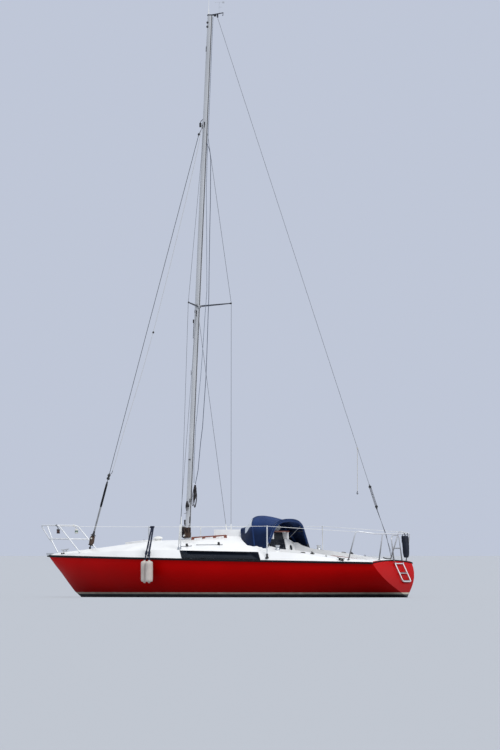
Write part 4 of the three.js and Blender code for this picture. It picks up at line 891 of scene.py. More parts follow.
# Two halyards hang slack behind the mast: a thick one from its exit below the
# hounds, and a thinner one from the masthead. Both end in the aft coil.
SLACK_HALYARDS = [
    {"name": "slack_halyard", "radius": 0.0062, "paint": rope_slate,
     "path": [(3.378, 0.02, 8.74), (3.433, 0.02, 8.64), (3.459, 0.02, 8.54), (3.47, 0.02, 8.41),
              (3.467, 0.02, 8.12), (3.463, 0.02, 7.64), (3.449, 0.02, 7.06), (3.435, 0.02, 6.29),
              (3.428, 0.02, 5.74), (3.414, 0.02, 5.43), (3.388, 0.02, 4.71), (3.367, 0.02, 4.23),
              (3.321, 0.02, 3.63), (3.294, 0.02, 3.27), (3.253, 0.02, 2.98), (3.198, 0.016, 2.45),
              (3.136, 0.008, 2.18)]},
    {"name": "main_halyard", "radius": 0.0048, "paint": rope_blue,
     "path": [(3.506, -0.006, 11.16), (3.436, -0.006, 9.6), (3.378, -0.006, 8.4), (3.363, -0.006, 7.83),
              (3.37, -0.006, 6.87), (3.375, -0.006, 5.91), (3.335, -0.006, 5.43), (3.281, -0.006, 4.71),
              (3.24, -0.006, 4.23), (3.163, -0.006, 3.51), (3.135, -0.006, 3.3), (3.096, -0.006, 2.5),
              (3.1, -0.006, 2.2)]},
]
for row in SLACK_HALYARDS:
    path = [at(*place) for place in row["path"]]
    halyard = fitted(tube([path], row["radius"], 0, 3), row["name"], row["paint"])

# Masthead. A slim dark bar rises aft over the mast to a small hook and carries
# the backstay on a lug, with two black sheave pads, the aerial and a wind vane.
alloy_dark = surface("alloy_dark", (0.035, 0.038, 0.05), (0.07, 0.075, 0.095), 9, (0.4, 0.6), 0.1, 240,
                     metal=0.4, shine=0.3)
CRANE_LOW = 11.1955
CRANE_BEND = 3.49
CRANE_AFT = 3.727
CRANE_RISE = 0.0425
CRANE_DEEP = 0.023
crane_arm = block(at(CRANE_AFT, -0.02, CRANE_LOW), at(CRANE_BEND, 0.02, CRANE_LOW + CRANE_DEEP), 0.005, 3)
for vertex in crane_arm.data.vertices:
    share = (BOW - CRANE_BEND - vertex.co.x) / (CRANE_AFT - CRANE_BEND)
    vertex.co.z += share * (CRANE_RISE - 0.3 * (vertex.co.z - CRANE_LOW))
crane_hook = [at(aft, 0, up) for aft, up in ((3.7, 11.246), (3.722, 11.243), (3.723, 11.2), (3.712, 11.186))]
crane_parts = [
    block(at(3.5, -0.022, CRANE_LOW), at(3.396, 0.022, CRANE_LOW + CRANE_DEEP), 0.005, 3),
    block(at(3.621, -0.008, 11.153), at(3.593, 0.008, 11.23)),
    tube([crane_hook], 0.0062, 0.012),
    crane_arm,
]
fitted(crane_parts, "masthead_bar", alloy_dark, "masthead_crane")
sheaves = []
for aft in (3.55, 3.415):
    sheaves += [rod(0.023, 0.0015, 24, at(aft, y, CRANE_LOW + 0.001)) for y in (-0.016, 0.016)]
    sheaves.append(sheave(0.021, 0.016, 0.011, 0.003, 28, at(aft, 0, CRANE_LOW + 0.001)))
for up in (11.06, 10.98):
    pad = turned([(0.021, -0.006), (0.024, 0.006), (0.02, 0.016), (0.006, 0.02)], 20)
    sheaves.append(riveted(pad, up, 52, -0.004))
fitted(sheaves, "masthead_sheaves", lamp_dark)
aerial_low, aerial_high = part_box("vhf_aerial")
aerial_height = aerial_high.z - aerial_low.z
AERIAL_BASE = [(0.0118, 0), (0.0118, 0.03), (0.0095, 0.036), (0.0095, 0.08), (0.006, 0.1), (0.0038, 0.115)]
aerial_whip = [(0.0036, aerial_height * 0.6), (0.0026, aerial_height - 0.006), (0.003, aerial_height - 0.003),
               (0.001, aerial_height)]
aerial = turned(AERIAL_BASE + aerial_whip, 20, (at(3.417, 0, 0).x, 0, aerial_low.z))
fitted(aerial, "aerial_whip", plastic_white, "vhf_aerial")
VANE = at(3.64, 0, 11.236)
VANE_HIGH = 0.21
vane_grey = surface("vane_grey", (0.42, 0.44, 0.48), (0.55, 0.57, 0.6), 30, (0.4, 0.6), 0.05, 200)
vane = [
    tube([[VANE + by(0, 0, 0.12), VANE + by(-0.06, side * 0.04, 0.12)] for side in (-1, 1)], 0.0015, 0),
    tube([[VANE, VANE + by(0, 0, VANE_HIGH)]], 0.0026, 0),
    tube([[VANE + by(-0.08, 0.016, VANE_HIGH), VANE + by(0.09, -0.018, VANE_HIGH)]], 0.002, 0),
    block((-0.12, 0.0145, VANE_HIGH - 0.018), (-0.075, 0.0165, VANE_HIGH + 0.018), 0.0008, 1, VANE),
    turned([(0.005, 0), (0.0005, 0.018)], 12, VANE + by(0.086, -0.017, VANE_HIGH), by(1, -0.19, 0)),
]
fitted(vane, "wind_vane", vane_grey)

# Spreaders. Two flattened tubes of dark anodised aluminium sweep aft a little
# from brackets on the mast, and black boots cover their tips.
SPREADER_ROOT_UP = 5.6
SPREADER_TIP = {"aft": 3.44, "side": 0.925, "up": 5.664}
SPREADER_COLLAR = [(0.021, 0), (0.021, 0.03), (0.018, 0.034)]
TIP_BOOT = [(0.011, 0), (0.015, 0.012), (0.018, 0.03), (0.016, 0.046), (0.008, 0.055)]
for word, side in SIDES:
    root = mast_middle(SPREADER_ROOT_UP) + by(-0.022, side * 0.038, 0)
    tip = at(SPREADER_TIP["aft"], side * SPREADER_TIP["side"], SPREADER_TIP["up"])
    reach = (tip - root).length
    out = (tip - root).normalized()
    arm = turned([(0.0165, 0), (0.0165, reach * 0.1), (0.0145, reach * 0.6), (0.0105, reach - 0.004),
                  (0.008, reach)], 28)
    arm.data.transform(Matrix.Diagonal((1, 0.66, 1, 1)))
    fitted(stood(arm, root, out, 90), "spreader_arm_" + word, alloy_dark, "spreader_" + word)
    bracket = joined([block((-0.05, -0.026, -0.007), (0.05, 0.026, 0.006), 0.004),
                      turned(SPREADER_COLLAR, 28)])
    riveted(bracket, SPREADER_ROOT_UP, side * 110)
    fitted(bracket, "spreader_bracket_" + word, alloy_satin)
    fitted(turned(TIP_BOOT, 24, tip - out * 0.035, out), "spreader_boot_" + word, lamp_dark)

# Shrouds. Each wire comes down from a tang on the mast to a rigging screw on a
# chainplate at the deck's edge, under a white plastic cover with a tapered top.
wire_steel = surface("wire_steel", (0.1, 0.11, 0.125), (0.19, 0.2, 0.22), 200, (0.45, 0.6), 0.5, 900,
                     metal=0.3, shine=0.2)
WIRE = 0.0036
SHROUD_SIDE = 1.105
SHROUDS = [
    {"name": "cap_shroud", "top": 9.1, "by_spreader": True, "aft": 3.354, "port": 1.55, "starboard": 1.41},
    {"name": "lower_shroud", "top": 5.467, "by_spreader": False, "aft": 3.31, "port": 1.4, "starboard": 1.41},
]
TERMINAL = [(0.0055, 0), (0.0075, 0.008), (0.0075, 0.055), (0.0045, 0.062)]
SCREW = [(0.0065, 0), (0.0065, 0.09), (0.0105, 0.094), (0.0105, 0.12)]
for shroud in SHROUDS:
    for word, side in SIDES:
        top, _ = against_mast(shroud["top"], side * 90, 0.005)
        spread = at(SPREADER_TIP["aft"], side * (SPREADER_TIP["side"] + 0.015), SPREADER_TIP["up"])
        foot = above_deck(shroud["aft"], side * SHROUD_SIDE, 0.025)
        run = [top, spread, foot] if shroud["by_spreader"] else [top, foot]
        fore_up = (run[-2] - foot).normalized()
        down = (top - run[1]).normalized()
        wire = tube([run], WIRE, 0.03, 3)
        fitted(wire, shroud["name"] + "_wire_" + word, wire_steel, shroud["name"] + "_" + word)
        screw_parts = [
            turned(SCREW, 20, foot, fore_up),
            block((-0.018, -0.004, -0.06), (0.018, 0.004, 0.02), around=foot),
            block((-0.0205, -0.016, -0.031), (0.0205, 0.016, -0.021), around=foot),
            rod(0.006, 0.012, 16, foot + by(0, 0, 0.006)),
        ]
        for cheek in (-0.0075, 0.0075):
            cheek_low = (-0.008, cheek - 0.0015, -0.002)
            screw_parts.append(block(cheek_low, (0.008, cheek + 0.0015, 0.03), 0.001, 2, foot))
        fitted(screw_parts, shroud["name"] + "_screw_" + word, steel_bright)
        tang = turned(TERMINAL, 16, top - down * 0.062, down)
        plate = block((-0.03, -0.011, -0.003), (0.03, 0.011, 0.004), 0.002)
        riveted(plate, shroud["top"] + 0.02, side * 90, 0, 90)
        fitted([tang, plate], shroud["name"] + "_tang_" + word, steel_dark)
        high = (shroud[word] - foot.z) / fore_up.z
        cover = [(0.0095, 0.075), (0.0125, 0.08), (0.0125, high - 0.09), (0.011, high - 0.06), (0.0055, high)]
        fitted(turned(cover, 24, foot, fore_up), shroud["name"] + "_cover_" + word, plastic_white)

# Forestay. The wire carries furling gear that stands bare: a drum full of dark
# rope, a jointed foil with a dark cover on its upper part, and a swivel above.
STAY_TOP = at(3.205, 0, 8.91)
STAY_FOOT = above_deck(0.865, 0, 0.025)
STAY_UP = (STAY_TOP - STAY_FOOT).normalized()


def on_stay(up):
    return level_on(STAY_FOOT, STAY_TOP, up)


def threaded(profile, up, steps=32):
    """A round piece that is threaded on the forestay, with its foot at a height."""
    return turned(profile, steps, on_stay(up), STAY_UP)


tang_place, _ = against_mast(9.045, 0, 0.004)
stay_wire = tube([[STAY_FOOT, STAY_TOP, tang_place]], 0.0058, 0.02, 3)
fitted(stay_wire, "forestay_wire", wire_steel, "forestay")
foil_alloy = surface("foil_alloy", (0.2, 0.205, 0.215), (0.3, 0.305, 0.315), 12, (0.35, 0.5), 0.1, 200,
                     metal=0.4)
fitted(threaded([(0.0165, 0), (0.0165, 0.56)], 1.24, 20), "furling_foil", foil_alloy)
drum_black = surface("drum_black", (0.008, 0.008, 0.01), (0.03, 0.03, 0.033), 20, (0.35, 0.6), 0.15, 150)
DRUM_UP = 0.985
DRUM = [(0.011, 0), (0.013, 0.01), (0.052, 0.016), (0.053, 0.022), (0.024, 0.028), (0.022, 0.03),
        (0.022, 0.2), (0.024, 0.203), (0.052, 0.212), (0.053, 0.219), (0.03, 0.228), (0.02, 0.26), (0.018, 0.3)]
fitted(threaded(DRUM, DRUM_UP), "furling_drum", drum_black)
stay_side = STAY_UP.cross(Vector((0, 1, 0))).normalized()
DRUM_TURNS = 19
TURN_STEPS = 18
furled = []
for i in range(DRUM_TURNS * TURN_STEPS + 1):
    turn = i / TURN_STEPS * math.tau
    rise = 0.034 + 0.0085 * i / TURN_STEPS
    belly = 0.034 + 0.011 * math.sin(math.pi * i / (DRUM_TURNS * TURN_STEPS)) + 0.003 * math.sin(i * 0.37)
    across = stay_side * (math.cos(turn) * belly)
    furled.append(on_stay(DRUM_UP) + STAY_UP * rise + across + by(0, math.sin(turn) * belly, 0))
fitted(tube([furled], 0.0055, 0, 3), "furling_line_turns", rope_brown)
COVER = [(0.017, 0), (0.0195, 0.015), (0.021, 0.05), (0.0205, 0.2), (0.021, 0.3), (0.0195, 0.45),
         (0.01, 0.49)]
fitted(threaded(COVER, 1.74, 24), "furling_foil_cover", rubber_black)
SWIVEL = [(0.012, 0), (0.022, 0.006), (0.03, 0.014), (0.03, 0.04), (0.02, 0.05), (0.02, 0.07), (0.03, 0.08),
          (0.03, 0.1), (0.016, 0.115), (0.01, 0.13)]
spur_root = on_stay(2.36)
spur_tip = spur_root + by(-0.075, 0, 0.075)
swivel_parts = [
    threaded(SWIVEL, 2.26),
    threaded([(0.009, 0), (0.016, 0.01), (0.016, 0.03), (0.008, 0.04)], 2.19),
    tube([[spur_root, spur_root + by(-0.05, 0, 0.02), spur_tip]], 0.005, 0.02),
]
fitted(swivel_parts, "furling_swivel", drum_black)
STAY_SCREW = [(0.0085, 0), (0.0085, 0.03), (0.012, 0.034), (0.012, 0.06)]
STAY_BALL = [(0.008, -0.024), (0.019, -0.016), (0.023, 0), (0.019, 0.016), (0.008, 0.024)]
HALYARD_BLOCK = at(3.238, 0.0, 9.09)
strap = [HALYARD_BLOCK + by(0, 0, 0.04), HALYARD_BLOCK + by(-0.012, 0, 0.075), against_mast(9.2, 0)[0]]
foot_parts = [
    block((-0.02, -0.005, -0.045), (0.02, 0.005, 0.02), around=STAY_FOOT),
    turned(STAY_SCREW, 20, STAY_FOOT, STAY_UP),
    block((-0.004, -0.014, -0.03), (0.008, 0.014, 0.05), around=tang_place),
    turned(STAY_BALL, 20, STAY_TOP, STAY_UP),
    block((-0.02, -0.014, -0.045), (0.02, 0.014, 0.045), 0.009, 3, HALYARD_BLOCK),
    tube([strap], 0.006, 0.02),
]
fitted(foot_parts, "forestay_ends", lamp_dark)
DRUM_KNOT = [(0.006, 0), (0.016, 0.006), (0.019, 0.018), (0.014, 0.03), (0.005, 0.035)]
drum_knot = turned(DRUM_KNOT, 16, on_stay(1.13) + by(0, 0.048, -0.016))
fitted(drum_knot, "furling_line_knot", rope_pale)
HALYARD_RUN = [(1.62, 0.01, 3.25), (1.95, 0.012, 4.2), (2.234, 0.014, 5.1), (2.6, 0.014, 6.4),
               (2.93, 0.012, 7.62), (3.18, 0.008, 8.6)]
halyard_points = [spur_tip] + [at(*place) for place in HALYARD_RUN] + [against_mast(9.12, 20, 0.004)[0]]
fitted(tube([rounded(halyard_points, 0.4)], 0.003, 0, 2), "headsail_halyard", rope_pale)
STOPPER = [(0.004, 0), (0.016, 0.008), (0.021, 0.022), (0.016, 0.036), (0.004, 0.044)]
stopper = turned(STOPPER, 20, at(2.228, 0.014, 5.08), (halyard_points[4] - halyard_points[3]).normalized())
fitted(stopper, "halyard_stopper", lamp_dark)

# Backstay. A single wire ends above head height in a rope tackle of two blocks,
# which is made fast to a plate on the stern and led to a cleat.
stay_down = (BACKSTAY_FOOT - BACKSTAY_TOP).normalized()
tackle_top = on_backstay(2.12)
tackle_low = on_backstay(1.74)
fitted(tube([[tackle_top, BACKSTAY_TOP]], WIRE, 0, 3), "backstay_wire", wire_steel, "backstay")
CHEEK = [(0.002, -0.003), (0.024, -0.003), (0.026, 0), (0.024, 0.003), (0.002, 0.003)]
BECKET = [(0.006, 0), (0.008, 0.01), (0.008, 0.05), (0.004, 0.056)]
blocks = []
for middle, way in ((tackle_top, -stay_down), (tackle_low, stay_down)):
    blocks += [turned(CHEEK, 28, middle + by(0, y, 0), by(0, 1, 0)) for y in (-0.012, 0.012)]
    blocks.append(sheave(0.021, 0.017, 0.008, 0.002, 28, middle))
    blocks.append(turned(BECKET, 16, middle, way))
fitted(blocks, "backstay_blocks", lamp_dark)
pendant = tube([[tackle_low, BACKSTAY_FOOT]], WIRE, 0, 3)
fitted(pendant, "backstay_pendant", wire_steel)
falls = [[tackle_top + by(off, 0, 0), tackle_low + by(off, 0, 0)] for off in (-0.018, 0, 0.018)]
tail_foot = on_deck(7.2, -0.24)[0] + by(0, 0, 0.03)
falls.append([tackle_low + by(0.016, 0, 0), on_backstay(1.2) + by(0.02, -0.07, 0), tail_foot])
fitted(tube(falls, 0.0045, 0, 3), "backstay_tackle_rope", rope_dark)
stern_plate = [
    block((-0.02, -0.005, -0.045), (0.02, 0.005, 0.012), around=BACKSTAY_FOOT),
    block((-0.035, -0.022, -0.028), (0.035, 0.022, -0.022), around=BACKSTAY_FOOT),
]
fitted(stern_plate, "backstay_plate", steel_bright)

# Pulpit. Satin stainless tube, bent, runs from the deck on one side round the
# bow to the other, with a forked foot on the stem and a lower rail.
steel_satin = surface("steel_satin", (0.66, 0.67, 0.69), (0.78, 0.79, 0.8), 14, (0.36, 0.5), 0.05, 300,
                      metal=0.4)
# This copy of the satin steel, for the pushpit and the ladder's hoop, carries painted shade: it darkens down
# the legs to a quarter of its colour at 0.85 m, so the rails stay light on top.
steel_stern_shaded = surface("steel_stern_shaded", (0.64, 0.65, 0.68), (0.76, 0.77, 0.79), 14, (0.36, 0.5), 0.05, 300,
                      metal=0.4)
painted_shade_below(steel_stern_shaded, 0.85, 1.22, 0.25)
RAIL = 0.0125
PULPIT_TOP = 1.382
FORK = at(0.05, 0, 1.063)
FOOT_PLATE = [(0.034, 0), (0.034, 0.003), (0.032, 0.0045), (0.0165, 0.005), (0.0165, 0.016), (0.014, 0.018)]
TUBE_SUNK = -0.004


def foot_plate(aft, side):
    """The round plate that a tube stands on, with its collar and three screws."""
    parts = [turned(FOOT_PLATE)]
    for i in range(3):
        turn = i / 3 * math.tau
        screw_foot = (math.cos(turn) * 0.025, math.sin(turn) * 0.025, 0.0043)
        parts.append(turned([(0.0042, 0), (0.0042, 0.0008), (0.001, 0.0018)], 12, screw_foot))
    return seated(joined(parts), aft, side, 0, 0.001)


pulpit_runs = []
pulpit_feet = []
for side in (1, -1):
    tip = at(-0.125, side * 0.13, PULPIT_TOP)
    corner = at(0.39, side * 0.4, PULPIT_TOP)
    foot = above_deck(0.864, side * 0.42, TUBE_SUNK)
    fork_arm = at(0.02, side * 0.06, 1.123)
    pulpit_runs.append([FORK, fork_arm, tip, corner, foot])
    pulpit_runs.append([fork_arm, corner.lerp(foot, (PULPIT_TOP - 1.108) / (PULPIT_TOP - foot.z + 0.016))])
    pulpit_feet.append(foot_plate(0.864, side * 0.42))
pulpit_runs.append([FORK + by(0, 0, RAIL / 2), above_deck(0.18, 0, TUBE_SUNK)])
pulpit_feet.append(foot_plate(0.18, 0))
fitted([tube(pulpit_runs, RAIL)] + pulpit_feet, "pulpit_tube", steel_satin, "pulpit")

# Pushpit. The same tube round the stern, lower than the pulpit, on four legs
# of which two stand beside the boarding ladder.
PUSHPIT_TOP = 1.215
PUSHPIT_FEET = [(6.85, 0.925), (6.85, -0.925), (7.255, 0.42), (7.255, -0.78)]
pushpit_feet = [foot_plate(*place) for place in PUSHPIT_FEET]
quarters = []
for side in (1, -1):
    quarters.append([above_deck(6.85, side * 0.93, TUBE_SUNK), at(7.02, side * 0.955, 1.27),
                     at(7.33, side * 0.78, PUSHPIT_TOP + RAIL / 2)])
pushpit_runs = [quarters[0] + quarters[1][::-1]]
pushpit_runs += [[at(7.33, y, PUSHPIT_TOP), above_deck(7.255, y, TUBE_SUNK)] for y in (0.42, -0.78)]
fitted([tube(pushpit_runs, RAIL)] + pushpit_feet, "pushpit_tube", steel_stern_shaded, "pushpit")

# Guard rails. Two steel posts on each side stand in black sockets on deck and
# carry a white covered wire from the pulpit to the pushpit.
POSTS = [
    {"aft": 2.69, "side": 1.13, "top": 1.352},
    {"aft": 5.26, "side": 1.221, "top": 1.365},
]
SOCKET = [(0.036, -0.02), (0.036, 0.004), (0.022, 0.007), (0.02, 0.012), (0.0192, 0.072), (0.0175, 0.076),
          (0.0135, 0.077)]
WIRE_SCREW = [(0.003, -0.03), (0.005, -0.02), (0.005, 0.0), (0.0068, 0.004), (0.0068, 0.07), (0.004, 0.076),
              (0.004, 0.12)]
wire_white = surface("wire_white", (0.78, 0.78, 0.77), (0.88, 0.88, 0.87), 60, (0.35, 0.55), 0.1, 300)
for word, side in SIDES:
    line = [at(post["aft"], side * post["side"], post["top"]) for post in POSTS]
    line = [at(0.436, side * 0.403, 1.36)] + line + [at(6.996, side * 0.959, 1.258)]
    fitted(tube([line], 0.004, 0.03, 3), "guard_wire_" + word, wire_white)
    parts = []
    sockets = []
    for post in POSTS:
        foot = on_deck(post["aft"], side * post["side"])[0]
        high = post["top"] + 0.012 - foot.z
        cap = [(0.0138, high - 0.01), (0.0138, high - 0.002), (0.009, high)]
        parts.append(turned([(0.0125, 0), (0.0125, high - 0.012)] + cap, 28, foot))
        sockets.append(turned(SOCKET, 28, foot))
        sockets.append(rod(0.004, 0.024, 12, foot + by(0, 0, 0.055), (1, 0, 0)))
    for end, beside in ((line[0], line[1]), (line[-1], line[-2])):
        parts.append(turned(WIRE_SCREW, 16, end, (beside - end).normalized()))
    fitted(sockets, "guard_post_sockets_" + word, lamp_dark)
    fitted(parts, "guard_posts_" + word, steel_satin, "guard_rail_" + word)

# Navigation lamps. A black housing to port and a pale one to starboard hang
# on bent arms under the pulpit's rail, each with a ribbed lens between caps.
LAMP_CAPS = [(0.026, 0), (0.032, 0.004), (0.034, 0.012), (0.034, 0.02), (0.0295, 0.023), (0.0295, 0.058),
             (0.034, 0.061), (0.034, 0.076), (0.028, 0.084), (0.012, 0.088)]
LAMP_CLAMP = [(0.0165, -0.012), (0.0175, -0.009), (0.0175, 0.009), (0.0165, 0.012)]
RIB = [(0.0318, 0.0245), (0.0302, 0.027)]
RIB_PITCH = 0.005
lamp_pale = surface("lamp_pale", (0.55, 0.54, 0.5), (0.72, 0.71, 0.66), 18, (0.4, 0.6), 0.08, 150)
lens_red = surface("lens_red", (0.035, 0.002, 0.002), (0.07, 0.004, 0.004), 40, (0.1, 0.2), coat=0.3)
lens_green = surface("lens_green", (0.1, 0.16, 0.12), (0.18, 0.26, 0.2), 40, (0.1, 0.2), coat=0.3)
HOUSINGS = {"port": (lamp_dark, "lamp_dark", lens_red), "starboard": (lamp_pale, "lamp_pale", lens_green)}
for word, side in SIDES:
    paint, slot, lens = HOUSINGS[word]
    foot = at(0.378, side * 0.394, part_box("nav_lamp_" + word)[0].z)
    clamp_place = at(0.33, side * 0.368, PULPIT_TOP)
    rail_way = (at(0.39, side * 0.4, 0) - at(-0.125, side * 0.13, 0)).normalized()
    lamp_parts = [
        turned(LAMP_CAPS, 32, foot),
        tube([[foot + by(0, 0, 0.08), foot + by(0.004, 0, 0.11), clamp_place]], 0.0075, 0.02),
        turned(LAMP_CLAMP, 20, clamp_place, rail_way),
    ]
    fitted(lamp_parts, "nav_lamp_housing_" + word, paint, "nav_lamp_" + word)
    ribs = [(0.0305, 0.0225)]
    for i in range(7):
        ribs += [(radius, up + RIB_PITCH * i) for radius, up in RIB]
    fitted(turned(ribs, 32, foot), "nav_lamp_lens_" + word, lens)

# Stem fitting. A folded stainless plate caps the stem, with a bow roller's
# cheeks and a pin, and a black horn cleat stands behind it.
stem_low, stem_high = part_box("stem_fitting")
stem_parts = [block((stem_low.x, -0.03, stem_low.z), (stem_high.x - 0.03, 0.03, stem_low.z + 0.006), 0.002)]
for y in (-0.0275, 0.0275):
    cheek_low = (stem_low.x + 0.02, y - 0.0025, stem_low.z + 0.002)
    stem_parts.append(block(cheek_low, (stem_high.x, y + 0.0025, stem_high.z), 0.002))
roller_place = by(stem_high.x - 0.018, 0, stem_low.z + 0.02)
ROLLER_PIN = [(0.008, -0.031), (0.008, -0.029), (0.005, -0.0285), (0.005, 0.0285), (0.008, 0.029),
              (0.008, 0.031)]
stem_parts.append(turned(ROLLER_PIN, 16, roller_place, by(0, 1, 0)))
fitted(stem_parts, "stem_plate", steel_bright, "stem_fitting")
fitted(sheave(0.017, 0.012, 0.022, 0.006, 24, roller_place), "bow_roller", rubber_black)


def horn_cleat(length):
    """A cleat with two horns on a broad foot."""
    half = length / 2
    horn = [by(-half, 0, 0.052), by(-half * 0.55, 0, 0.044), by(half * 0.55, 0, 0.044), by(half, 0, 0.052)]
    parts = [tube([horn], 0.0095, 0.03), block((-0.052, -0.019, -0.003), (0.052, 0.019, 0.006), 0.004, 3)]
    parts += [block((x - 0.013, -0.011, -0.003), (x + 0.013, 0.011, 0.043), 0.005, 3) for x in (-0.03, 0.03)]
    return joined(parts)


fitted(seated(horn_cleat(0.165), 0.33, 0, 0, 0.001), "bow_cleat_cast", alloy_satin, "bow_cleat")
fairleads = []
for side in (1, -1):
    lead = [block((-0.05, -0.012, -0.004), (0.05, 0.012, 0.008))]
    lead += [block((x - 0.016, -0.01, 0.004), (x + 0.016, 0.01, 0.026), 0.007, 3) for x in (-0.032, 0.032)]
    fairleads.append(seated(joined(lead), 0.385, side * 0.205, side * -24))
fitted(fairleads, "bow_fairleads", lamp_dark)
stern_cleats = [seated(horn_cleat(0.15), 6.72, side * 0.98, 0, 0.001) for side in (1, -1)]
fitted(stern_cleats, "stern_cleats", lamp_dark)

# Sheet gear. Jib tracks of anodised alloy with black cars, pads, cam cleats and
# eyes are bolted along each side deck.
TRACKS = [
    {"fore": 3.62, "aft": 4.16, "side": 0.93},
    {"fore": 3.3, "aft": 3.52, "side": 0.97},
]
GEAR = [
    {"kind": "car", "aft": 3.43, "side": 0.97},
    {"kind": "car", "aft": 4.09, "side": 0.93},
    {"kind": "pad", "aft": 5.87, "side": 0.9},
    {"kind": "cam", "aft": 6.05, "side": 0.86},
    {"kind": "eye", "aft": 6.34, "side": 0.86},
]


def track(fore, aft, side):
    """A T-shaped track that follows the deck, with a stop at each end."""
    ends = [on_deck(fore, side)[0], on_deck(aft, side)[0]]
    long_way = ends[1] - ends[0]
    half = long_way.length / 2
    parts = [block((-half, -0.006, -0.004), (half, 0.006, 0.006), 0.001),
             block((-half, -0.0125, 0.004), (half, 0.0125, 0.009), 0.002)]
    parts += [block((x - 0.008, -0.015, -0.002), (x + 0.008, 0.015, 0.015), 0.004) for x in (-half, half)]
    bar = joined(parts)
    x_way = long_way.normalized()
    y_way = on_deck((fore + aft) / 2, side)[1].cross(x_way).normalized()
    axes = Matrix((x_way, y_way, x_way.cross(y_way))).transposed().to_4x4()
    bar.data.transform(Matrix.Translation((ends[0] + ends[1]) / 2) @ axes)
    return bar


def gear_piece(kind):
    if kind == "car":
        parts = [block((-0.028, -0.019, 0.002), (0.028, 0.019, 0.018), 0.005, 3)]
        cheeks = [block((-0.018, y - 0.002, 0.014), (0.018, y + 0.002, 0.056), 0.001)
                  for y in (-0.0125, 0.0125)]
        return joined(parts + [sheave(0.02, 0.014, 0.009, 0.003, 24, (0, 0, 0.04))] + cheeks)
    if kind == "pad":
        pad = turned([(0.04, -0.002), (0.04, 0.006), (0.034, 0.014), (0.014, 0.018)], 28)
        pad.data.transform(Matrix.Diagonal((1.3, 0.75, 1, 1)))
        return pad
    if kind == "cam":
        base = block((-0.035, -0.024, -0.002), (0.035, 0.024, 0.02), 0.005, 3)
        jaws = [turned([(0.014, 0), (0.014, 0.016), (0.006, 0.02)], 14, (0, y, 0.018))
                for y in (-0.012, 0.012)]
        guide = [by(0.02, y, up) for y, up in ((-0.02, 0.012), (-0.02, 0.052), (0.02, 0.052), (0.02, 0.012))]
        return joined([base, tube([guide], 0.0032, 0.014)] + jaws)
    turns = [i / 20 * math.tau for i in range(21)]
    loop = [by(math.cos(turn) * 0.014, 0, 0.016 + math.sin(turn) * 0.014) for turn in turns]
    return joined([turned([(0.022, -0.002), (0.022, 0.004), (0.012, 0.006)], 20), tube([loop], 0.003, 0)])


for word, side in SIDES:
    bars = [track(row["fore"], row["aft"], side * row["side"]) for row in TRACKS]
    fitted(bars, "jib_tracks_" + word, alloy_satin)
    pieces = [seated(gear_piece(row["kind"]), row["aft"], side * row["side"]) for row in GEAR]
    fitted(pieces, "sheet_gear_" + word, lamp_dark)

# Sheet winches. Chromed bronze drums with a ribbed waist stand on short
# pedestals on the coamings, with a socket for the handle on top.
WINCH_SKIRT = [(0.0515, -0.012), (0.0515, 0.009), (0.049, 0.013), (0.039, 0.016), (0.0345, 0.022)]
WINCH_RIB = [(0.0328, 0.026), (0.0335, 0.0285)]
WINCH_HEAD = [(0.037, 0.062), (0.0445, 0.069), (0.0447, 0.078), (0.041, 0.081), (0.0405, 0.0845),
              (0.024, 0.0875), (0.0125, 0.088), (0.011, 0.08)]
PEDESTAL = [(0.056, -0.04), (0.056, -0.014), (0.0525, -0.0115), (0.03, -0.011)]
winch_ribs = [(radius, up + i * 0.0055) for i in range(6) for radius, up in WINCH_RIB]
for word, side in SIDES:
    low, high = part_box("winch_" + word)
    foot = by((low.x + high.x) / 2, (low.y + high.y) / 2, high.z - 0.088)
    winch = turned(WINCH_SKIRT + winch_ribs + WINCH_HEAD, 48, foot)
    fitted(winch, "sheet_winch_" + word, steel_bright, "winch_" + word)
    fitted(turned(PEDESTAL, 40, foot), "winch_pedestal_" + word, rubber_black)

# Sprayhood. Navy acrylic canvas is stretched over two stainless bows above the
# companionway, with clear panes sewn into its front and a bound hem.
# Each row is an arch's half from the top to its port foot: distances aft, out and up
ARCHES = [
    [(4.285, 0, 1.32), (4.285, 0.2, 1.32), (4.288, 0.366, 1.317), (4.3, 0.394, 1.2), (4.47, 0.7, 1.07),
     (4.68, 1.0, 0.94)],
    [(4.4, 0, 1.392), (4.41, 0.23, 1.388), (4.44, 0.43, 1.352), (4.5, 0.58, 1.26), (4.62, 0.81, 1.105),
     (4.76, 1.0, 0.94)],
    [(4.545, 0, 1.565), (4.56, 0.25, 1.552), (4.61, 0.48, 1.5), (4.68, 0.68, 1.4), (4.79, 0.86, 1.19),
     (4.89, 1.0, 0.935)],
    [(5.0, 0, 1.478), (5.0, 0.25, 1.472), (4.995, 0.46, 1.44), (4.985, 0.65, 1.36), (4.985, 0.81, 1.19),
     (5.02, 1.0, 0.92)],
    [(5.145, 0, 1.506), (5.142, 0.24, 1.498), (5.137, 0.445, 1.462), (5.13, 0.625, 1.375), (5.12, 0.77, 1.2),
     (5.11, 0.99, 0.91)],
]
HOOD_ACROSS = 72
HOOD_ALONG = 36


def eased(points, t):
    """A place on the smooth run through points, where t counts them."""
    i = min(int(t), len(points) - 2)
    t -= i
    before = points[i - 1] if i else points[0] * 2 - points[1]
    start, end = points[i], points[i + 1]
    after = points[i + 2] if i + 2 < len(points) else end * 2 - start
    return (start * 2 + (end - before) * t + (before * 2 - start * 5 + end * 4 - after) * t ** 2
            + (start * 3 - before - end * 3 + after) * t ** 3) / 2


arch_points = []
for arch in ARCHES:
    half = [at(*place) for place in arch]
    arch_points.append(half[::-1] + [by(p.x, -p.y, p.z) for p in half[1:]])


def hood(across, along):
    """A place on the canvas: across runs from 0 to port to 1, along from 0 at the front to 1 aft."""
    ribs = [eased(points, across * (len(points) - 1)) for points in arch_points]
    return eased(ribs, along * (len(ribs) - 1))


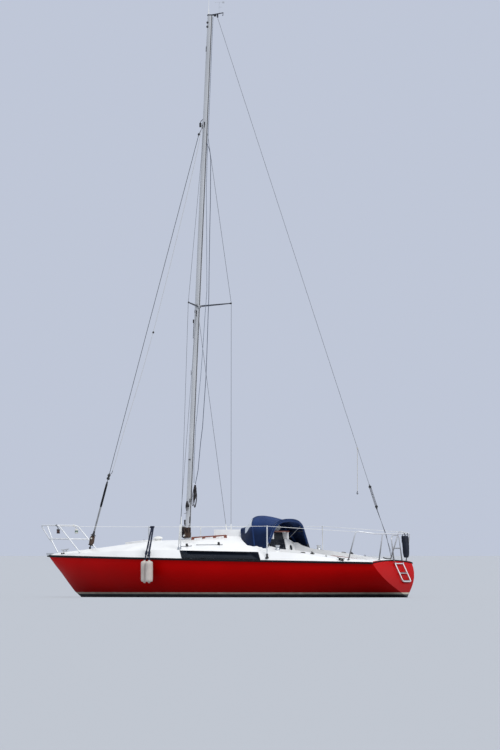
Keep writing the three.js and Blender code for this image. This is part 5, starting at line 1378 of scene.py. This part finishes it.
def hood_out(across, along):
    """The way the canvas faces at a place."""
    step = 0.004
    one = hood(min(across + step, 1), along) - hood(max(across - step, 0), along)
    two = hood(across, min(along + step, 1)) - hood(across, max(along - step, 0))
    return two.cross(one).normalized()


def puckered(across, along):
    """Canvas pulls into small folds that fan out from its feet and along the bows."""
    foot = max(abs(across - 0.5) * 2 - 0.45, 0) / 0.55
    folds = math.sin(along * 31 + across * 9) * 0.0045 * foot
    sag = -0.006 * math.sin(math.pi * min(max((along - 0.5) * 2, 0), 1)) * (1 - foot)
    return folds + sag


def on_hood(across, along, lift):
    """A place above the folds of the canvas."""
    return hood(across, along) + hood_out(across, along) * (puckered(across, along) + lift)


def woven(name, low, high, thread=900.0, on_uv=True):
    """Canvas with two sets of threads, on the piece's UV map in metres or in its own space."""
    paint = surface(name, low, high, 5, (0.8, 0.95), shine=0.08)
    finished(paint, {"Sheen Weight": 0.04})
    lay = wired(paint, "UVMap", {}) if on_uv else own_space(paint)
    threads = []
    for way in ("X", "Y") if on_uv else ("Y", "Z"):
        waves = wired(paint, "TexWave", {"Vector": lay, "Scale": thread / 20}, bands_direction=way)
        threads.append(waves.outputs["Fac"])
    both = wired(paint, "Math", {0: threads[0], 1: threads[1]}, operation="ADD")
    return raised(paint, both, 0.35, 0.0008)


def lengths(points):
    """How far along a run each of its points lies."""
    far = [0.0]
    for before, after in zip(points, points[1:]):
        far.append(far[-1] + (after - before).length)
    return far


def cloth_from(rows, name):
    """A sheet through rows of points, with a UV map in metres along its rows."""
    mesh = bpy.data.meshes.new(name)
    wide = len(rows[0])
    faces = [(r * wide + c, r * wide + c + 1, (r + 1) * wide + c + 1, (r + 1) * wide + c)
             for r in range(len(rows) - 1) for c in range(wide - 1)]
    mesh.from_pydata([point for row in rows for point in row], [], faces)
    across = lengths(rows[len(rows) // 2])
    along = lengths([row[wide // 2] for row in rows])
    layer = mesh.uv_layers.new(name="UVMap")
    for loop in mesh.loops:
        layer.data[loop.index].uv = (across[loop.vertex_index % wide], along[loop.vertex_index // wide])
    obj = placed(name, mesh)
    bpy.ops.object.shade_smooth()
    return obj


def thickened(obj, thickness, offset=-1.0):
    alone(obj)
    wall = obj.modifiers.new("wall", "SOLIDIFY")
    wall.thickness = thickness
    wall.offset = offset
    bpy.ops.object.modifier_apply(modifier="wall")
    return obj


rows = [[on_hood(c / HOOD_ACROSS, r / HOOD_ALONG, -0.001) for c in range(HOOD_ACROSS + 1)]
        for r in range(HOOD_ALONG + 1)]
canvas_navy = woven("canvas_navy", (0.009, 0.028, 0.105), (0.016, 0.044, 0.15))
# Painted shade: the canvas darkens below its top, to 0.3 of its colour at 1.2 m.
painted_shade_below(canvas_navy, 1.2, 1.5, 0.3)
vinyl_clear = surface("vinyl_clear", (0.4, 0.44, 0.5), (0.62, 0.66, 0.7), 4, (0.06, 0.2), 0.25, 9, coat=0.3)
hood_sheet = cloth_from(rows, "hood")
hood_canvas = fitted(thickened(hood_sheet, 0.0022), "sprayhood_canvas", canvas_navy,
                     "sprayhood")
PANES = [(0.18, 0.325), (0.36, 0.64), (0.675, 0.82)]
PANE_ALONG = (0.2, 0.49)


def in_pane(face):
    """Tells whether a face lies in a pane. The sheet's cells come first, on its two sides."""
    cell = face.index % (HOOD_ACROSS * HOOD_ALONG)
    across = (cell % HOOD_ACROSS + 0.5) / HOOD_ACROSS
    along = (cell // HOOD_ACROSS + 0.5) / HOOD_ALONG
    within = any(low < across < high for low, high in PANES) and PANE_ALONG[0] < along < PANE_ALONG[1]
    return within and face.index < 2 * HOOD_ACROSS * HOOD_ALONG


repainted(hood_canvas, vinyl_clear, in_pane)


def band(places, width_way, half, lift):
    """A strip sewn on the canvas along a list of places, half as wide on each side."""
    rows = []
    for off in (-1, -0.8, 0, 0.8, 1):
        row = []
        for place in places:
            across, along = [min(max(share + off * half * way, 0), 1) for share, way in zip(place, width_way)]
            row.append(on_hood(across, along, lift if abs(off) < 1 else -0.0005))
        rows.append(row)
    return thickened(cloth_from(rows, "band"), 0.001)


def shares(low, high, steps):
    """Evenly spread numbers from low to high."""
    return [low + (high - low) * i / steps for i in range(steps + 1)]


BAND_STEPS = 60
PANE_STEPS = 12
ACROSS_BANDS = [(0.012, 0.012, 0.002), (0.985, 0.015, 0.0025), (0.5, 0.02, 0.0022)]
bands = [band([(a, along) for a in shares(0, 1, BAND_STEPS)], (0, 1), half, lift)
         for along, half, lift in ACROSS_BANDS]
bands += [band([(across, a) for a in shares(0, 1, BAND_STEPS)], (1, 0), 0.006, 0.002)
          for across in (0.006, 0.994)]
for low, high in PANES:
    for across in (low, high):
        bands.append(band([(across, a) for a in shares(*PANE_ALONG, PANE_STEPS)], (1, 0), 0.004, 0.0018))
    for along in PANE_ALONG:
        bands.append(band([(a, along) for a in shares(low, high, PANE_STEPS)], (0, 1), 0.008, 0.0018))
canvas_bound = woven("canvas_bound", (0.009, 0.024, 0.085), (0.015, 0.038, 0.12))
hood_bindings = fitted(bands, "sprayhood_bindings", canvas_bound)

# Sprayhood frame. Two bows of stainless tube run in canvas sleeves from deck
# plates, held apart by a brace on each side, and grey straps pull them aft.
BOW_INSIDE = 0.046


def hood_bow(arch, inside):
    """Places along an arch from port to starboard, moved inside the canvas."""
    points = [eased(arch_points[arch], t * 0.5) for t in range(21)]
    bow = []
    for before, point, after in zip([points[0]] + points, points, points[1:] + [points[-1]]):
        run = after - before
        bow.append(point + by(0, -run.z, run.y).normalized() * inside)
    return bow


BOW_PLATE = [(0.022, -0.006), (0.022, 0.004), (0.015, 0.008), (0.013, 0.03)]
bows = [hood_bow(2, BOW_INSIDE), hood_bow(4, BOW_INSIDE)]
braces = [[bows[0][i], bows[1][i]] for i in (3, 17)]
bow_feet = [turned(BOW_PLATE, 20, end) for bow in bows for end in (bow[0], bow[-1])]
fitted([tube(bows + braces, 0.011, 0)] + bow_feet, "sprayhood_bows", steel_dark, "sprayhood_frame")
sleeves = [tube([bow[1:20]], 0.0165, 0, 4) for bow in bows]
for arch in (2, 4):
    web = [hood_bow(arch, inside)[1:20] for inside in (0.004, 0.02, BOW_INSIDE - 0.012)]
    sleeves.append(thickened(cloth_from(web, "web"), 0.0016))
hood_sleeves = fitted(sleeves, "sprayhood_sleeves", canvas_bound)


def webbing(path, way, width):
    """A flat woven strap along a path, laid wide along a direction."""
    rows = [[point + way * off for point in path] for off in (-width / 2, 0, width / 2)]
    return thickened(cloth_from(rows, "strap"), 0.0016, 0)


strap_grey = woven("strap_grey", (0.2, 0.21, 0.23), (0.32, 0.33, 0.35), 1400.0)
straps = []
for side in (-1, 1):
    high = bows[1][10 - side * 5] + by(0, 0, -0.012)
    low = on_deck(4.78, side * 0.66)[0] + by(0, 0, 0.004)
    straps.append(webbing([high.lerp(low, i / 10) for i in range(11)], by(1, 0, 0), 0.02))
    straps.append(turned([(0.016, -0.002), (0.016, 0.004), (0.008, 0.007)], 16, low))
fitted(straps, "sprayhood_straps", strap_grey)

# Fenders. Two blown vinyl fenders hang outside the port side from navy lines
# that are hitched round the guard wire and knotted above each fender's eye.
fender_white = surface("fender_white", (0.46, 0.4, 0.36), (0.6, 0.54, 0.49), 7, (0.4, 0.6), 0.12, 90)
rope_navy = braided("rope_navy", (0.006, 0.009, 0.024), (0.016, 0.024, 0.06))
FENDERS = [
    {"name": "fore", "aft": 2.67, "side": 1.275, "knot": (2.69, 1.262), "hitch": (2.762, 1.164, 1.344)},
    {"name": "aft", "aft": 2.805, "side": 1.35, "knot": (2.785, 1.325), "hitch": (2.79, 1.158, 1.344)},
]
FENDER_HIGH = 0.44
LANYARD = 0.0085
FENDER_END = [(0.014, 0), (0.019, 0.002), (0.021, 0.008), (0.0215, 0.016), (0.03, 0.02), (0.05, 0.024),
              (0.062, 0.031), (0.069, 0.043), (0.0715, 0.062)]
KNOT = [(0.008, 0), (0.022, 0.01), (0.027, 0.026), (0.021, 0.042), (0.026, 0.06), (0.018, 0.08),
        (0.008, 0.09)]
HITCH_STEPS = 14
fender_side = [(0.072, 0.12), (0.072, FENDER_HIGH - 0.12)]
fender_side += [(r, FENDER_HIGH - z) for r, z in reversed(FENDER_END)]
for fender in FENDERS:
    body = turned(FENDER_END + fender_side, 48, at(fender["aft"], fender["side"], 0.275))
    fitted(body, "fender_body_" + fender["name"], fender_white, "fender_" + fender["name"])
    eye = at(fender["aft"], fender["side"], 0.7)
    knot = at(*fender["knot"], 0.852)
    hitch_place = at(*fender["hitch"])
    apart = by(-0.016, 0, 0)
    around = []
    for i in range(4 * HITCH_STEPS + 1):
        turn = i / HITCH_STEPS * math.tau
        ahead = 0.014 * (i / HITCH_STEPS - 2)
        around.append(hitch_place + by(ahead, math.cos(turn) * 0.0135, 0.006 + math.sin(turn) * 0.0135))
    knot_parts = [
        tube([[eye, knot, hitch_place]], LANYARD, 0.03, 3),
        tube([[eye + apart / 2, knot + apart, hitch_place + apart]], LANYARD, 0.03, 3),
        turned(KNOT, 16, knot - by(0, 0, 0.04), (hitch_place - knot).normalized()),
        tube([around], 0.007, 0, 3),
    ]
    fitted(knot_parts, "fender_line_" + fender["name"], rope_navy)

# Boarding ladder. Its fixed upper part is a hoop of stainless tube on the
# stern, and the lower part folds up on two hinges, with flat plastic treads.
LADDER_SIDES = (-0.045, -0.395)
LADDER_TUBE = 0.012
HOOP_TOP = 1.19
HINGE_UP = 0.662
LOW = 0.305
RUNGS = (0.467, 0.318)
HOOP_FLANGE = [(0.018, -0.004), (0.018, 0.003), (0.0148, 0.006), (0.014, 0.02)]


def on_hoop(up, side):
    return at(7.285 + (7.35 - 7.285) * (HOOP_TOP - up) / (HOOP_TOP - 0.71), side, up)


def on_transom(up, side):
    return at(7.31 + (7.66 - 7.31) * (0.71 - up) / 0.71 + 0.034, side, up)


def rung(place_of, up):
    """A straight run from the ladder's port leg to its starboard one."""
    return [place_of(up, side) for side in LADDER_SIDES]


port_leg, starboard_leg = LADDER_SIDES
hoop = [on_hoop(0.7, port_leg), on_hoop(1.13, port_leg), on_hoop(HOOP_TOP, port_leg - 0.06),
        on_hoop(HOOP_TOP, starboard_leg + 0.06), on_hoop(1.13, starboard_leg), on_hoop(0.7, starboard_leg)]
hoop_parts = [tube([hoop, rung(on_hoop, 0.942)], LADDER_TUBE)]
for side in LADDER_SIDES:
    hoop_parts.append(turned(HOOP_FLANGE, 24, by(on_hoop(0.715, side).x, side, 0.712)))
fitted(hoop_parts, "ladder_hoop", steel_stern_shaded, "ladder_upper")
low_loop = [on_transom(HINGE_UP, port_leg)] + rung(on_transom, LOW) + [on_transom(HINGE_UP, starboard_leg)]
low_runs = [low_loop] + [rung(on_transom, up) for up in (HINGE_UP - 0.014,) + RUNGS]
ladder_low = tube(low_runs, LADDER_TUBE)
fitted(ladder_low, "ladder_folding_part", steel_satin, "ladder_lower", "stern_ladder")
treads = []
for up in RUNGS:
    low = on_transom(up, starboard_leg + 0.035) + by(-0.016, 0, 0.006)
    high = on_transom(up, port_leg - 0.035) + by(0.016, 0, 0.0145)
    treads.append(block(low, high, 0.004, 3))
fitted(treads, "ladder_treads", lamp_dark, body="stern_ladder")
ears = [rod(0.0165, 0.016, 24, on_transom(HINGE_UP, side)) for side in LADDER_SIDES]
fitted(ears, "ladder_hinge_ears", steel_bright, body="stern_ladder")

# Stern bag. A navy canvas bag for the life line hangs by two webbing straps from
# the pushpit's rail. It is wide at its top, and its full bottom sags.
bag_low, bag_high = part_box("stern_bag")
bag_middle_x = (bag_low.x + bag_high.x) / 2
BAG_RINGS = [
    {"up": 0.77, "port": -0.605, "starboard": -0.69, "deep": 0.022},
    {"up": 0.762, "port": -0.588, "starboard": -0.708, "deep": 0.046},
    {"up": 0.775, "port": -0.576, "starboard": -0.718, "deep": 0.064},
    {"up": 0.81, "port": -0.565, "starboard": -0.724, "deep": 0.078},
    {"up": 0.88, "port": -0.546, "starboard": -0.728, "deep": 0.08},
    {"up": 0.97, "port": -0.518, "starboard": -0.728, "deep": 0.074},
    {"up": 1.06, "port": -0.488, "starboard": -0.728, "deep": 0.066},
    {"up": 1.14, "port": -0.458, "starboard": -0.728, "deep": 0.054},
    {"up": 1.178, "port": -0.442, "starboard": -0.724, "deep": 0.04},
    {"up": 1.186, "port": -0.45, "starboard": -0.716, "deep": 0.024},
]
BAG_AROUND = 48
bag_points = []
for ring in BAG_RINGS:
    middle = (ring["port"] + ring["starboard"]) / 2
    wide = (ring["port"] - ring["starboard"]) / 2
    for i in range(BAG_AROUND):
        turn = i / BAG_AROUND * math.tau
        squared = (abs(math.cos(turn)) ** 3 + abs(math.sin(turn)) ** 3) ** (-1 / 3)
        crease = 1 - 0.12 * math.sin(turn * 5 + ring["up"] * 22) * math.sin((ring["up"] - 0.76) * 7)
        x = bag_middle_x + math.sin(turn) * squared * ring["deep"] / 2 * crease
        bag_points.append((x, middle + math.cos(turn) * squared * wide,
                           ring["up"] + 0.006 * math.sin(turn * 3 + 1)))
bag_faces = [tuple(reversed(range(BAG_AROUND)))]
for base in range(0, (len(BAG_RINGS) - 1) * BAG_AROUND, BAG_AROUND):
    for i in range(BAG_AROUND):
        j = (i + 1) % BAG_AROUND
        bag_faces.append((base + i, base + j, base + BAG_AROUND + j, base + BAG_AROUND + i))
bag_faces.append(tuple(range(len(bag_points) - BAG_AROUND, len(bag_points))))
bag_mesh = bpy.data.meshes.new("bag")
bag_mesh.from_pydata(bag_points, [], bag_faces)
bag = placed("bag", bag_mesh)
with editing():
    bpy.ops.mesh.normals_make_consistent(inside=False)
soften = bag.modifiers.new("soften", "SUBSURF")
soften.levels = 2
soften.render_levels = 2
bpy.ops.object.modifier_apply(modifier="soften")


def filled(obj, voxel, pressure, most):
    """Fills a closed piece as cloth under pressure. No point moves more than the most."""
    obj.data.remesh_voxel_size = voxel
    bpy.ops.object.voxel_remesh()
    slack = [vertex.co.copy() for vertex in obj.data.vertices]
    cloth = obj.modifiers.new("cloth", "CLOTH")
    cloth.settings.use_pressure = True
    cloth.settings.uniform_pressure_force = pressure
    cloth.settings.effector_weights.gravity = 0
    for moment in range(1, 21):
        bpy.context.scene.frame_set(moment)
    bpy.ops.object.modifier_apply(modifier="cloth")
    bpy.context.scene.frame_set(1)
    for vertex, before in zip(obj.data.vertices, slack):
        move = vertex.co - before
        if move.length > most:
            vertex.co = before + move.normalized() * most


filled(bag, voxel=0.005, pressure=4.0, most=0.007)
bpy.ops.object.shade_smooth()
bag_tree = tree_of(bag)
bag_navy = woven("bag_navy", (0.011, 0.014, 0.024), (0.022, 0.026, 0.04), on_uv=False)
fitted(bag, "stern_bag_canvas", bag_navy, "stern_bag")


def on_bag(x, y, z, lift):
    """The place on the bag's skin that is nearest to a place, a little above it."""
    nearest, out, _, _ = bag_tree.find_nearest(by(x, y, z))
    return nearest + out * lift


seam = [on_bag(bag_middle_x, ring["port"], ring["up"], 0.001) for ring in BAG_RINGS[::-1]]
seam += [on_bag(bag_middle_x, ring["starboard"], ring["up"], 0.001) for ring in BAG_RINGS]
bag_trim = [tube([seam], 0.0035, 0, 3)]
rail_middle = at(7.33, 0, PUSHPIT_TOP + RAIL / 2)
STRAP_UPS = (1.05, 1.08, 1.11, 1.14)
for y in (-0.52, -0.66):
    over = [on_bag(bag_middle_x + 0.1, y, up, 0.0015) for up in STRAP_UPS]
    over += [rail_middle + by(math.cos(turn) * 0.0145, y, math.sin(turn) * 0.0145)
             for turn in (math.pi * i / 10 for i in range(11))]
    over += [on_bag(bag_middle_x - 0.1, y, up, 0.0015) for up in STRAP_UPS[::-1]]
    bag_trim.append(webbing(over, by(0, 1, 0), 0.026))
fitted(bag_trim, "stern_bag_trim", bag_navy)
